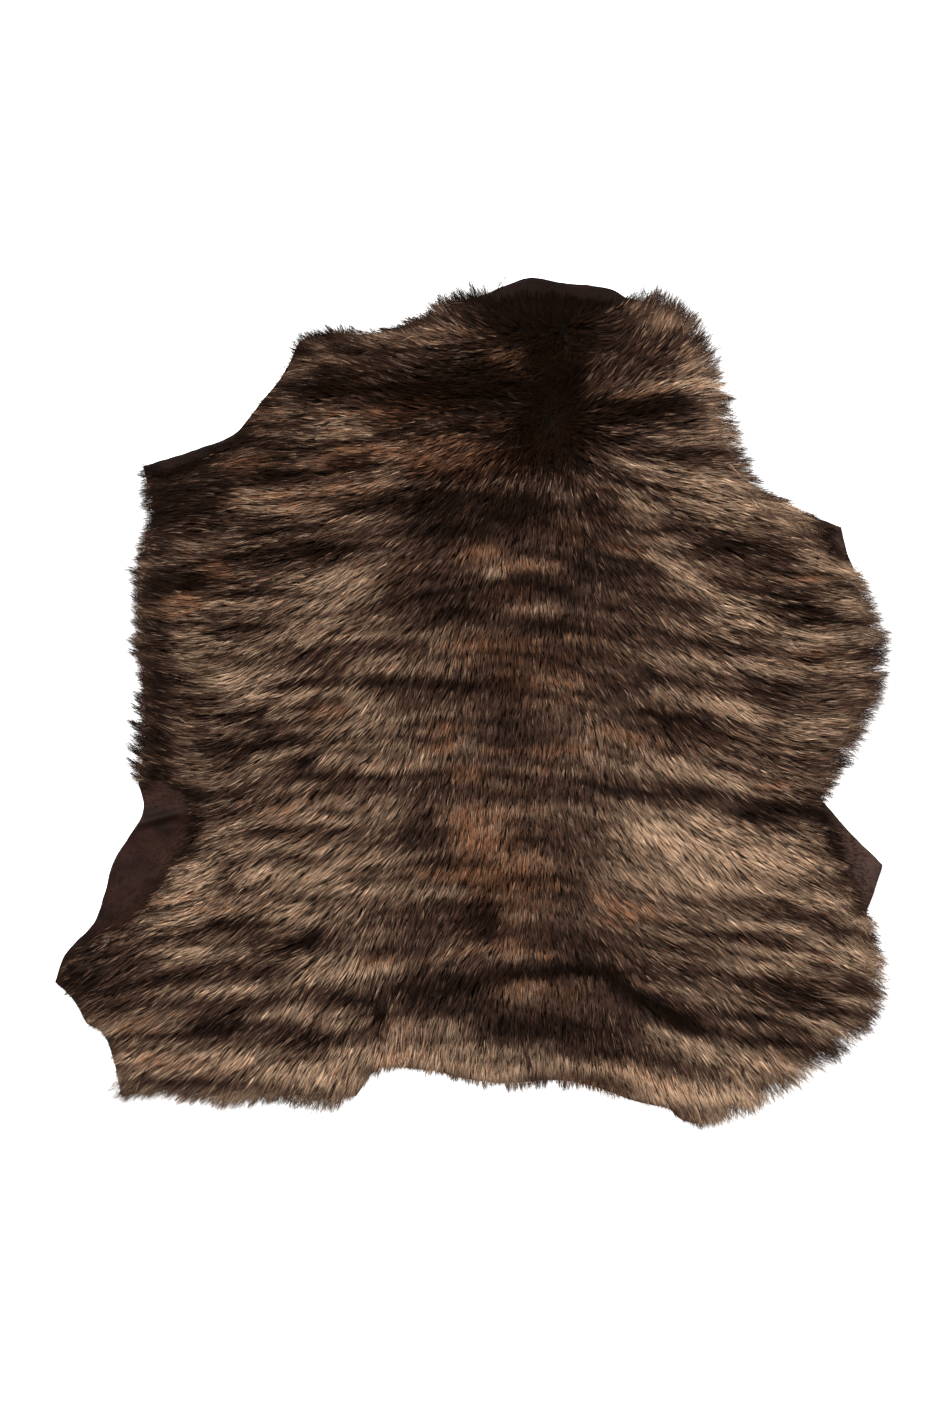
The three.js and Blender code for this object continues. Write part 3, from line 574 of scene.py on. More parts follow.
# The leather's shading, in metres over the skin: from where to where, and the gain there.
NECK_LEATHER = ("Y", 0.15, 0.28, 0.36)
FLAP_LEATHER = ("X", 0.34, 0.46, 2.4)
FLAP_DUST = ("X", 0.34, 0.46, 0.9)
DUST_COLOUR = (0.050, 0.031, 0.025, 1)

LEATHER_SPECULAR = 0.07
CLOUDS = (22, 5)  # scale and detail of the noise that clouds the leather
CLOUD_STOPS = (0.41, 0.68)  # its values for plain and for worn leather
LEATHER_GRAIN = (700, 4, 0.5, 0.0006)  # scale and detail of the noise, strength and height
FIBRES = (420, 3, 0.8, 0.002)  # the same for the under wool

# The hair's colours along the first colour coordinate: place, colour and gain.
HAIR_STOPS = (
    (0.0, "rust", 1.45), (0.14, "rust", 1.0), (0.34, "rust", 0.29), (0.43, "rust", 0.085),
    (0.5, "black", 1.0), (0.57, "brown", 0.28), (0.67, "brown", 1.0),
    (0.82, "tan", 0.58), (0.93, "tan", 1.0), (1.0, "tan", 1.35),
)
DARKEST_HAIR = 0.1  # gain for brightness 0
COMBED_LOOK = (1.6, 0.5, 0.02)  # gain for brightness 1, roughness and specular level
# The under wool is darker than the strands over it: partly its own darker wool, partly painted shade
# down between the strands.
UNDER_LOOK = (0.6, 0.9, 0.05)
UNDER_SHADED_BRIGHTNESS = 0.4
UNDER_PALER = 0.35  # how far the under wool takes up the tone of the wool over it

FLOOR_HALF = 6.0
FLOOR_LEVEL = -0.0002
KEY_SIZE = (1.6, 1.0)
KEY_PLACE = (-0.5, 1.5, 2.2)
KEY_TILT = (-36, -13)  # degrees about X and Y
SENSOR = 36

# Where the strands are parted into pieces, from the neck to the tail.
ZONES = (
    ("wool_neck", 262),
    ("wool_shoulders", 110),
    ("wool_back", -30),
    ("wool_loins", -180),
    ("wool_haunches", -320),
    ("wool_tail", -1000),
)


class Wisp(NamedTuple):
    """A lock that sticks out past the edge: its root and its tip, the number of its hairs,
    its width at the root, how far its tips fan out, and its tone from 0 to 1."""

    x: float
    y: float
    to_x: float
    to_y: float
    hairs: int
    width: float
    fan: float
    tone: float


WISPS = (
    (-150, 402, -172, 424, 60, 9, 7, 0.22), (-143, 404, -150, 429, 60, 8, 6, 0.20),
    (-138, 403, -134, 425, 40, 7, 5, 0.22), (-28, 436, -38, 462, 60, 10, 9, 0.06),
    (-12, 442, -22, 470, 70, 9, 8, 0.06), (2, 448, -6, 476, 50, 6, 5, 0.05),
    (14, 452, 12, 474, 30, 6, 5, 0.04), (22, 457, 42, 492, 8, 5, 4, 0.03),
    (26, 458, 50, 484, 6, 5, 5, 0.03), (-352, 236, -382, 230, 60, 12, 5, 0.04),
    (-352, 224, -380, 214, 60, 12, 5, 0.04), (-352, 172, -384, 172, 80, 12, 5, 0.12),
    (-354, 160, -386, 160, 80, 10, 5, 0.10), (-356, 138, -396, 150, 110, 7, 2, 0.02),
    (-358, 126, -392, 138, 80, 10, 4, 0.04), (-360, 108, -390, 124, 70, 9, 4, 0.06),
    (-360, 96, -388, 108, 60, 9, 4, 0.06), (-360, 78, -388, 94, 70, 9, 4, 0.05),
    (-361, 58, -394, 76, 90, 9, 4, 0.06), (-361, 46, -392, 62, 80, 9, 4, 0.06),
    (-361, 22, -378, 34, 50, 9, 3, 0.05), (-361, -4, -386, 12, 80, 9, 4, 0.05),
    (-361, -16, -388, -2, 60, 8, 3, 0.05), (-361, -36, -394, -18, 90, 8, 3, 0.04),
    (-362, -50, -390, -32, 70, 8, 3, 0.05), (-362, -64, -394, -42, 80, 8, 3, 0.04),
    (-364, -80, -394, -60, 70, 7, 3, 0.05), (-367, -92, -388, -76, 50, 6, 3, 0.05),
    (432, 96, 464, 92, 50, 10, 6, 0.35), (436, 76, 470, 76, 60, 10, 6, 0.40),
    (434, 24, 468, 26, 60, 10, 5, 0.35), (428, -2, 462, 4, 60, 10, 6, 0.40),
    (420, -26, 450, -28, 50, 10, 6, 0.30), (402, -64, 432, -70, 50, 10, 6, 0.15),
)


def colour_setting(name, description, colour):
    return FloatVectorProperty(
        name=name, description=description, default=colour, subtype="COLOR", size=3, min=0, max=1,
    )


def length_setting(name, description, length, least, most):
    return FloatProperty(
        name=name, description=description, default=length, min=least, max=most,
        subtype="DISTANCE", unit="LENGTH",
    )


def number_setting(name, description, number, most, least=0):
    return FloatProperty(name=name, description=description, default=number, min=least, max=most)


class HideSettings(bpy.types.PropertyGroup):
    """Colours and roughness of the leather."""

    colour: colour_setting("Leather", "Colour of the tanned leather", (0.0085, 0.0036, 0.0027))
    worn: colour_setting("Worn leather", "Colour where it is rubbed", (0.031, 0.0120, 0.0082))
    roughness: number_setting("Roughness", "Roughness of the leather's surface", 0.62, 1)


class WoolSettings(bpy.types.PropertyGroup):
    """Sizes of the wool, in metres, and its colours."""

    pile: length_setting("Pile", "Height of the laid wool over the leather", 0.017, 0.004, 0.04)
    length: length_setting(
        "Hair length", "Length of the hair away from the bare edges", 0.025, 0.01, 0.08,
    )
    strand_width: length_setting(
        "Strand width", "Width of one strand of hair", 0.00082, 0.0003, 0.003,
    )
    tuft_pitch: length_setting(
        "Tuft pitch", "Distance from one tuft of strands to the next", 0.0049, 0.003, 0.02,
    )
    strands: IntProperty(
        name="Strands", description="Number of strands in a tuft", default=16, min=1, max=24,
    )
    black: colour_setting("Black hair", "Colour of the dark bands", (0.0062, 0.0025, 0.0011))
    brown: colour_setting("Brown hair", "Colour between the bands", (0.070, 0.0382, 0.0262))
    tan: colour_setting("Tan hair", "Colour of the pale bands", (0.46, 0.304, 0.196))
    rust: colour_setting("Rust hair", "Colour of the red bands", (0.222, 0.099, 0.053))


class StageSettings(bpy.types.PropertyGroup):
    """The floor, the lights and the camera."""

    lens: number_setting("Lens", "Focal length of the camera, in millimetres", 85, 300, 20)
    floor: colour_setting("Floor", "Colour of the floor", (0.93, 0.93, 0.93))
    floor_glow: number_setting(
        "Floor glow", "Light that the floor gives off, as a light table does", 0.7, 2,
    )
    key_power: number_setting("Key light", "Power of the large soft light", 125, 1000)
    sky: number_setting("Sky", "Strength of the light from all round", 0.62, 5)


# Small helpers for numbers.


def ease(t):
    """A smooth step from 0 to 1."""
    t = np.clip(t, 0.0, 1.0)
    return t * t * (3.0 - 2.0 * t)


def noise(x, y, pitch_x, pitch_y, seed):
    """Smooth noise between -1 and 1, with lumps of the given size along x and y."""
    size = 64
    table = np.random.default_rng(seed).uniform(-1.0, 1.0, (size, size))
    u = np.asarray(x) / pitch_x + 7.3
    v = np.asarray(y) / pitch_y + 3.1
    iu = np.floor(u).astype(int)
    iv = np.floor(v).astype(int)
    fu = ease(u - iu)
    fv = ease(v - iv)
    i0, i1 = iu % size, (iu + 1) % size
    j0, j1 = iv % size, (iv + 1) % size
    low = table[i0, j0] * (1 - fu) + table[i1, j0] * fu
    high = table[i0, j1] * (1 - fu) + table[i1, j1] * fu
    return low * (1 - fv) + high * fv


def layered(layers, x, y):
    """The sum of the layers of noise, each times its share."""
    total = 0.0
    for share, pitch_x, pitch_y, seed in layers:
        total = total + share * noise(x, y, pitch_x, pitch_y, seed)
    return total


def near_spine(x, run=SPINE_RUN):
    """1 along the spine, down to 0 on both sides of it."""
    return np.exp(-(((x - SPINE_X) / run) ** 2))


def grid(step, stagger=0.0):
    """Points all over the fields' span, with every other row moved by a share of the step."""
    axis = np.arange(-FIELD_SPAN, FIELD_SPAN, step)
    x, y = np.meshgrid(axis, axis, indexing="ij")
    return x + (np.arange(len(axis))[None, :] % 2) * step * stagger, y


def shaken_grid(step, stagger, shake, rng):
    """Such points, each moved at random by up to a share of the step, as flat arrays."""
    x, y = grid(step, stagger)
    x = (x + rng.uniform(-shake, shake, x.shape) * step).ravel()
    y = (y + rng.uniform(-shake, shake, y.shape) * step).ravel()
    return x, y


class Field:
    """Values on a square grid over the skin, read smoothly between the grid's points."""

    def __init__(self, step=FIELD_STEP):
        self.step = step
        self.axis = np.arange(-FIELD_SPAN, FIELD_SPAN + step, step)
        self.x, self.y = np.meshgrid(self.axis, self.axis, indexing="ij")
        self.values = None

    def fill(self, values):
        self.values = np.asarray(values, float)
        return self

    def at(self, x, y):
        u = np.clip((x + FIELD_SPAN) / self.step, 0, len(self.axis) - 1.001)
        v = np.clip((y + FIELD_SPAN) / self.step, 0, len(self.axis) - 1.001)
        i = u.astype(int)
        j = v.astype(int)
        fu = u - i
        fv = v - j
        low = self.values[i, j] * (1 - fu) + self.values[i + 1, j] * fu
        high = self.values[i, j + 1] * (1 - fu) + self.values[i + 1, j + 1] * fu
        return low * (1 - fv) + high * fv


# The outline of the skin.


def spline(rows, step):
    """Points along a smooth line through rows of x, y and any further columns, which are
    read straight between the rows. The line is a centripetal Catmull-Rom spline."""
    rows = np.array(rows, float)
    xy = rows[:, :2]
    padded = np.vstack([2 * xy[0] - xy[1], xy, 2 * xy[-1] - xy[-2]])
    samples = []
    for i in range(len(rows) - 1):
        p0, p1, p2, p3 = padded[i : i + 4]
        d0, d1, d2 = (np.linalg.norm(b - a) ** 0.5 for a, b in ((p0, p1), (p1, p2), (p2, p3)))
        m1 = ((p1 - p0) / d0 - (p2 - p0) / (d0 + d1) + (p2 - p1) / d1) * d1
        m2 = ((p2 - p1) / d1 - (p3 - p1) / (d1 + d2) + (p3 - p2) / d2) * d1
        steps = max(1, round(d1 * d1 / step))
        t = np.arange(steps)[:, None] / steps
        bend = 2 * t**3 - 3 * t**2
        line = (1 + bend) * p1 - bend * p2 + (t**3 - 2 * t**2 + t) * m1 + (t**3 - t**2) * m2
        rest = rows[i, 2:] * (1 - t) + rows[i + 1, 2:] * t
        samples.append(np.hstack([line, rest]))
    return np.vstack(samples)


def outward(points):
    """The unit direction out of a clockwise outline at each of its points."""
    along = np.roll(points, -1, axis=0) - np.roll(points, 1, axis=0)
    out = np.stack([-along[:, 1], along[:, 0]], axis=1)
    return out / np.linalg.norm(out, axis=1, keepdims=True)


def cut_edge():
    """Rows of x, y, reach, heading and 1 where leather shows, all round the cut edge."""
    parts = []
    for stretch in STRETCHES:
        rows = spline(stretch.edge, EDGE_STEP)
        bare = np.full((len(rows), 1), float(bool(stretch.foot)))
        parts.append(np.hstack([rows, bare]))
    return np.vstack(parts)


def foot_line(edge):
    """Rows of x, y, reach and 1 where leather shows, all round the foot of the wool."""
    out = outward(edge[:, :2])
    parts = []
    at = 0
    for stretch in STRETCHES:
        count = len(spline(stretch.edge, EDGE_STEP))
        if stretch.foot:
            line = spline(stretch.foot, EDGE_STEP)
            reach = np.full((len(line), 1), float(stretch.cover))
            parts.append(np.hstack([line, reach, np.ones_like(reach)]))
        else:
            rows = slice(at + 1, at + count)
            line = edge[rows, :2] - out[rows] * FOOT_INSET
            reach = edge[rows, 2:3] + FOOT_INSET
            parts.append(np.hstack([line, reach, np.zeros_like(reach)]))
        at += count
    return np.vstack(parts)


def measure(points, field):
    """Signed distance to a closed outline over a field's grid, positive inside, and the
    index of the nearest point of the outline."""
    a = points[:, :2]
    b = np.roll(a, -1, axis=0)
    span = b - a
    size = (span**2).sum(1)
    distance = np.empty_like(field.x)
    nearest = np.empty(field.x.shape, int)
    inside = np.empty(field.x.shape, bool)
    for i in range(len(field.axis)):
        x = field.x[i][:, None]
        y = field.y[i][:, None]
        t = np.clip(((x - a[:, 0]) * span[:, 0] + (y - a[:, 1]) * span[:, 1]) / size, 0, 1)
        away = np.hypot(x - a[:, 0] - t * span[:, 0], y - a[:, 1] - t * span[:, 1])
        nearest[i] = away.argmin(1)
        distance[i] = away.min(1)
        crosses = (a[:, 1] > y) != (b[:, 1] > y)
        with np.errstate(divide="ignore", invalid="ignore"):
            left = x < a[:, 0] + span[:, 0] * (y - a[:, 1]) / span[:, 1]
        inside[i] = (crosses & left).sum(1) % 2 == 1
    return np.where(inside, distance, -distance), nearest


def troughs(table, x, y):
    """The height of the strongest ridge or trough of a table at each point."""
    height = np.zeros(np.shape(x))
    for row in table:
        span = np.array([row.to_x - row.x, row.to_y - row.y])
        along = ((x - row.x) * span[0] + (y - row.y) * span[1]) / (span @ span)
        t = np.clip(along, 0, 1)
        away = np.hypot(x - row.x - span[0] * t, y - row.y - span[1] * t)
        here = row.rise * np.exp(-((away / row.width) ** 2))
        height = np.where(np.abs(here) > np.abs(height), here, height)
    return height


def folds(x, y):
    """The height of the floor side of the leather, which lies in a few low folds."""
    return np.maximum(troughs(FOLDS, x, y), 0)


def lumps(x, y):
    """The rise and fall of the tufts."""
    turn = 2 * math.pi / LUMP_PITCH
    across = np.sin(turn * (x + 0.3 * y) + 0.9 * np.sin(turn * 0.55 * y))
    along = np.sin(turn * (0.9 * y - 0.2 * x) + 1.1 * np.sin(turn * 0.45 * x))
    return LUMP * 0.5 * (across + along)


class Skin:
    """The outlines of the skin and the fields over it that all its pieces share."""

    def __init__(self):
        wool = bpy.context.scene.sheepskin_wool
        self.edge = cut_edge()
        self.foot = foot_line(self.edge)
        base = Field()
        self.x, self.y = base.x, base.y
        edge_distance, _ = measure(self.edge, base)
        foot_distance, nearest = measure(self.foot, base)
        self.to_edge = Field().fill(edge_distance)
        self.to_foot = Field().fill(foot_distance)
        self.reach = Field().fill(self.foot[nearest, 2])
        bare = self.foot[:, 3] > 0
        gap = np.full(base.x.shape, 1e6)
        for x, y in self.foot[bare, :2][::2]:
            gap = np.minimum(gap, np.hypot(base.x - x, base.y - y))
        self.bare_gap = Field().fill(gap)
        grown = ease(gap / SHORT_RUN)
        full = wool.length / MM
        full = full * (1 - SPINE_SHORTER * near_spine(base.x))
        full = full * (1 + RIM_LONGER * ease(1 - foot_distance / RIM_RUN))
        self.length = Field().fill(SHORT_LENGTH + (full - SHORT_LENGTH) * grown)
        self.ground = Field().fill(self.ground_height(edge_distance))
        pile = self.pile_height(edge_distance, foot_distance, wool.pile / MM)
        self.pile = Field().fill(pile)
        self.comb()
        self.paint()

    def ground_height(self, edge_distance):
        """The top of the leather, and the floor beyond its edge."""
        laid = (LEATHER_THICKNESS + PARTING) * ease(edge_distance / EDGE_RUN + 1)
        return laid + folds(self.x, self.y)

    def pile_height(self, edge_distance, foot_distance, full):
        """The height of the wool's top over the ground."""
        gain = ease(foot_distance / RIM_RUN)
        inner = full + lumps(self.x, self.y) + troughs(HOLLOWS, self.x, self.y)
        top = RIM_PILE + (inner - RIM_PILE) * gain
        drop = ease(-edge_distance / OUTER_RUN)
        return top + (OUTER_PILE - top) * drop

    def comb(self):
        """Fields of the hair's direction, from the rows of COMBED."""
        rows = sorted(COMBED)
        heights = np.array([row[0] for row in rows], float)
        across = self.x[:, 0]
        cosines = []
        sines = []
        for _, pairs in rows:
            at = [x for x, _ in pairs]
            turns = np.unwrap(np.radians([heading for _, heading in pairs]))
            cosines.append(np.interp(across, at, np.cos(turns)))
            sines.append(np.interp(across, at, np.sin(turns)))
        place = np.interp(self.y, heights, np.arange(len(rows)))
        low = np.minimum(place.astype(int), len(rows) - 2)
        share = place - low
        column = np.arange(len(across))[:, None]
        cosines = np.array(cosines)
        sines = np.array(sines)
        dx = cosines[low, column] * (1 - share) + cosines[low + 1, column] * share
        dy = sines[low, column] * (1 - share) + sines[low + 1, column] * share
        angle = np.arctan2(dy, dx) + layered(WANDER, self.x, self.y)
        self.dir_x = Field().fill(np.cos(angle))
        self.dir_y = Field().fill(np.sin(angle))

    def heading(self, x, y):
        """The heading of the hair there, in radians."""
        return np.arctan2(self.dir_y.at(x, y), self.dir_x.at(x, y))

    def paint(self):
        """Fields of the brindle's tone, 0 for black to 1 for pale, with painted shade in the hollows
        and the crease, and of its rust.
        """
        tone = Field(TONE_STEP)
        x, y = tone.x, tone.y
        turn_right = BAND_SLOPE_RIGHT * ease(x / BAND_SLOPE_RUN)
        turn_left = BAND_SLOPE_LEFT * ease(-x / BAND_SLOPE_RUN)
        level = y + (turn_right - turn_left) * x
        level = level + layered(BAND_WAVE, x, y)
        rust = RUST + layered(RUST_PATCHES, x, y) + SPINE_RUST * near_spine(x, SPINE_RUST_RUN)
        rust = rust + layered(RUST_BANDS, x, level)
        light = np.ones_like(x)
        dark = np.ones_like(x)
        for group, rows in BRINDLE_AND_PAINTED_SHADE.items():
            for mark in (Mark(*row) for row in rows):
                part, shape = self.mark_shape(tone, mark)
                amount = mark.tone * MARK_STRENGTHS[group]
                if amount > 0:
                    light[part] *= 1 - MARK_GAIN * amount * shape
                    rust[part] += (mark.rust - rust[part]) * shape
                else:
                    dark[part] *= 1 + amount * shape
        most, mid_x, mid_y, half_x, half_y = SHOULDER_RUST
        near = np.exp(-(((x - mid_x) / half_x) ** 2) - ((y - mid_y) / half_y) ** 2)
        rust = rust + most * near
        spine = near_spine(x)
        contrast = BAND_CONTRAST - SPINE_FLATTER * spine
        shade = MID_TONE - SPINE_DARKER * spine - NECK_DARKER * y / NECK_SPAN
        shade = shade + contrast * layered(BANDS, x, level) + layered(PATCHES, x, y)
        shade = np.clip(shade, *BAND_TONES)
        shade = shade + (1 - light) * (1.0 - shade)
        shade = shade * dark * self.bare_tone(x, y)
        self.tone = Field(TONE_STEP).fill(np.clip(shade, 0, 1))
        likely = ease((rust - RUST_RANGE[0]) / RUST_RANGE[1])
        self.rust = Field(TONE_STEP).fill(RUST_SHARES[0] + RUST_SHARES[1] * likely)

    def mark_shape(self, field, mark):
        """The part of a field that a mark touches, and how much it does at each point."""
        reach = MARK_REACH * max(mark.half_length, mark.half_width)
        i0, i1 = np.searchsorted(field.axis, (mark.x - reach, mark.x + reach))
        j0, j1 = np.searchsorted(field.axis, (mark.y - reach, mark.y + reach))
        part = (slice(i0, i1), slice(j0, j1))
        turn = math.radians(mark.tilt)
        x = field.x[part] - mark.x
        y = field.y[part] - mark.y
        along = x * math.cos(turn) + y * math.sin(turn)
        across = y * math.cos(turn) - x * math.sin(turn)
        return part, np.exp(-((along / mark.half_length) ** 4) - (across / mark.half_width) ** 2)

    def bare_tone(self, x, y):
        """How dark the hair is by the leather that shows, as a share of its own tone."""
        far = ease(self.bare_gap.at(x, y) / BARE_RUN)
        hind = ease((HIND_FROM[0] - y) / HIND_FROM[1])
        neck = ease((y - NECK_FROM[0]) / NECK_FROM[1]) * (x < NECK_TO)
        least = BARE_TONE + BARE_TONE_HIND * hind + BARE_TONE_NECK * neck
        inner = ease(self.to_foot.at(x, y) / BARE_RIM)
        return far + (1 - far) * (least + (1 - least) * inner)


# Meshes.


def to_frame():
    """The move from the tables' millimetres to the frame's: the leather's own box is known
    in both."""
    low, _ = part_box("hide")
    rows = np.vstack([np.array(stretch.edge)[:, :2] for stretch in STRETCHES])
    return np.array([low.x / MM - rows[:, 0].min(), low.y / MM - rows[:, 1].min(), 0.0])


def finish_piece(mesh, material):
    """Links a mesh as a piece that rides on the body, with its material."""
    mesh.materials.append(material)
    piece = bpy.data.objects.new(mesh.name, mesh)
    bpy.context.scene.collection.objects.link(piece)
    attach(piece, BODY)
    return piece


def layer_mesh(name, outline, step, bottom, top, fine=None):
    """A closed sheet with the given outline, between two height functions of x and y. Where
    fine is true of x and y, its points are closer together."""
    count = len(outline)
    grid_x, grid_y = grid(step, 0.5)
    room = Field()
    distance, _ = measure(outline[::2], room)
    room.fill(distance)
    keep = room.at(grid_x, grid_y) > step * 0.6
    if fine is not None:
        keep &= ~fine(grid_x, grid_y)
    inner = [np.stack([grid_x[keep], grid_y[keep]], axis=1)]
    if fine is not None:
        close_x, close_y = grid(BARE_STEP)
        keep = (room.at(close_x, close_y) > BARE_STEP * 0.6) & fine(close_x, close_y)
        inner.append(np.stack([close_x[keep], close_y[keep]], axis=1))
    flat = np.vstack([outline, *inner])
    edges = [(i, (i + 1) % count) for i in range(count)]
    made = delaunay_2d_cdt([tuple(p) for p in flat], edges, [], 1, 1e-5)
    points = np.array([tuple(p) for p in made[0]])
    faces = [tuple(face) for face in made[2]]
    first = np.array(faces[0])
    turn = np.cross(points[first[1]] - points[first[0]], points[first[2]] - points[first[0]])
    if turn < 0:
        faces = [face[::-1] for face in faces]
    total = len(points)
    low = np.column_stack([points, bottom(points[:, 0], points[:, 1])])
    high = np.column_stack([points, top(points[:, 0], points[:, 1])])
    ends = {}
    for face in faces:
        ends.update(dict.fromkeys(zip(face, face[1:] + face[:1])))
    rim = [(a, b) for a, b in ends if (b, a) not in ends]
    sides = [(a + total, a, b, b + total) for a, b in rim]
    upper = [tuple(i + total for i in face) for face in faces]
    lower = [face[::-1] for face in faces]
    mesh = bpy.data.meshes.new(name)
    spots = (np.vstack([low, high]) + to_frame()) * MM
    mesh.from_pydata(spots.tolist(), [], upper + lower + sides)
    mesh.shade_smooth()
    return mesh


def strands_mesh(name, paths, width, roll, shade):
    """Strands as flat ribbons, widest in the middle, that run to a point at both ends. paths
    holds three points a strand, width and roll one value a strand, and shade the two colour
    coordinates at each point."""
    count = len(paths)
    tangent = paths[:, 2] - paths[:, 0]
    tangent /= np.linalg.norm(tangent, axis=1, keepdims=True) + 1e-9
    side = np.stack([tangent[:, 1], -tangent[:, 0], np.zeros(count)], axis=1)
    side /= np.linalg.norm(side, axis=1, keepdims=True) + 1e-9
    lift = np.cross(side, tangent)
    turn = roll[:, None]
    half = (side * np.cos(turn) + lift * np.sin(turn)) * (width[:, None] / 2)
    middle = paths[:, 1]
    spots = np.stack([paths[:, 0], middle - half, middle + half, paths[:, 2]], axis=1)
    apart = np.array([0.006, 0.0])
    tint = shade[:, 1]
    colour = np.stack([shade[:, 0], tint - apart, tint + apart, shade[:, 2]], axis=1)
    colour = np.clip(colour, 0.002, 0.998)
    corners = np.array([0, 2, 1, 1, 2, 3])
    loops = (corners[None, :] + 4 * np.arange(count)[:, None]).ravel()
    mesh = bpy.data.meshes.new(name)
    mesh.vertices.add(count * 4)
    mesh.vertices.foreach_set("co", ((spots + to_frame()) * MM).ravel())
    mesh.loops.add(len(loops))
    mesh.loops.foreach_set("vertex_index", loops)
    mesh.polygons.add(count * 2)
    mesh.polygons.foreach_set("loop_start", 3 * np.arange(count * 2))
    mesh.update(calc_edges=True)
    layer = mesh.uv_layers.new(name="OFBake")
    layer.data.foreach_set("uv", colour.reshape(-1, 2)[loops].ravel())
    mesh.shade_smooth()
    return mesh


# Combing the wool.


class Tufts:
    """Tufts of strands, each with a path over the skin that starts at its root."""

    def __init__(self, skin, x, y, longest, turned, straight=None):
        self.x, self.y = x, y
        if straight is None:
            straight = np.zeros(len(x), bool)
        self.step = longest / (PATH_POINTS - 1)
        path_x = [x]
        path_y = [y]
        headings = [skin.heading(x, y) + turned]
        for _ in range(PATH_POINTS - 1):
            path_x.append(path_x[-1] + self.step * np.cos(headings[-1]))
            path_y.append(path_y[-1] + self.step * np.sin(headings[-1]))
            following = skin.heading(path_x[-1], path_y[-1]) + turned
            headings.append(np.where(straight, headings[0], following))
        self.path_x = np.stack(path_x, axis=1)
        self.path_y = np.stack(path_y, axis=1)
        self.headings = np.stack(headings, axis=1)
        self.outside = -skin.to_foot.at(self.path_x, self.path_y)
        self.local_reach = skin.reach.at(self.path_x, self.path_y)

    def most(self, factor):
        """The length at which each tuft has passed the foot line by its reach times a
        factor."""
        passed = self.outside > self.local_reach * factor[:, None]
        first = np.where(passed.any(1), passed.argmax(1), PATH_POINTS)
        return np.where(first >= PATH_POINTS, 1e6, (first - 0.5) * self.step)

    def streaks(self, pitch, seed):
        """Noise drawn out along the hair: one value a tuft, with a spread of about 1."""
        total = np.zeros(len(self.x))
        for k in range(PATH_POINTS):
            total += noise(self.path_x[:, k], self.path_y[:, k], pitch, pitch, seed)
        return total / (0.38 * PATH_POINTS**0.5)

    def along(self, tuft, run):
        """The place and heading on a tuft's path after a run."""
        u = np.clip(run / self.step, 0, PATH_POINTS - 1.001)
        i = u.astype(int)
        f = u - i
        x = self.path_x[tuft, i] * (1 - f) + self.path_x[tuft, i + 1] * f
        y = self.path_y[tuft, i] * (1 - f) + self.path_y[tuft, i + 1] * f
        return x, y, self.headings[tuft, i]


def tuft_roots(skin, pitch, rng, inset=0.0):
    """Roots of the tufts: a staggered grid, shaken, kept inside the foot line."""
    x, y = shaken_grid(pitch, 0.5, 0.42, rng)
    keep = skin.to_foot.at(x, y) > inset
    return x[keep], y[keep]


def strand_shades(skin, x, y, rng, brightness, odd):
    """The colour coordinates of strands at their stations: the first runs from rust through
    black, in the middle, to tan, and the second is the brightness. A low or a high value of
    odd picks the dark hairs among pale ones and the pale among dark ones."""
    count = len(x)
    slide = rng.normal(0, SHADE_SLIDE, (count, 1))
    drift = rng.normal(0, SHADE_DRIFT, (count, 1))
    dx = np.gradient(x, axis=1)
    dy = np.gradient(y, axis=1)
    size = np.hypot(dx, dy) + 1e-6
    spine = near_spine(x[:, -1:]) * ease((CALM_TOP - y[:, -1:]) / CALM_RUN)
    calm = 1 - SPINE_CALM * spine
    pull = SHADE_PULL + SPINE_PULL * spine
    slide = slide * calm
    at_x = x + (x[:, -1:] - x) * pull + slide * dx / size - drift * dy / size
    at_y = y + (y[:, -1:] - y) * pull + slide * dy / size + drift * dx / size
    at_x = at_x + layered(SHADE_WAVE_X, x, y)
    at_y = at_y + layered(SHADE_WAVE_Y, x, y)
    tone = skin.tone.at(at_x, at_y)
    spread = TONE_SPREAD[0] + TONE_SPREAD[1] * tone
    tone = tone + rng.normal(0, 1, (count, 1)) * spread * calm
    odd = odd[:, None]
    tone = np.where(odd < DARK_HAIRS, tone * (1 - DARK_HAIR_DROP * calm), tone)
    gain = PALE_HAIR_GAIN * calm * ease((tone - PALE_HAIR_TONES[0]) / PALE_HAIR_TONES[1])
    tone = np.where(odd > 1 - PALE_HAIRS, tone + gain, tone)
    tone = np.clip(tone, 0.02, 1)
    red = rng.uniform(0, 1, count) < skin.rust.at(at_x[:, -1], at_y[:, -1])
    sign = np.where(red, -1.0, 1.0)[:, None]
    first = 0.5 + 0.5 * sign * tone
    # Painted shade: each strand is darker towards its root, as if shaded by the hair over it.
    root = ROOT_SHADED_GLOW + (1 - ROOT_SHADED_GLOW) * ease(np.array(STATIONS)[None, :] / ROOT_RUN)
    second = np.clip((MID_GLOW + (brightness[:, None] - MID_GLOW) * calm) * root, 0, 1)
    return np.stack([first, second], axis=2)


def crown_tufts(skin, pitch, rng):
    """Further tufts round the crown, where the hair parts to all sides."""
    x, y = tuft_roots(skin, pitch * CROWN_PITCH, rng)
    near = np.full(len(x), False)
    for crown_x, crown_y, radius in CROWNS:
        near |= np.hypot(x - crown_x, y - crown_y) < radius * rng.uniform(0.5, 1.1, len(x))
    return x[near], y[near]


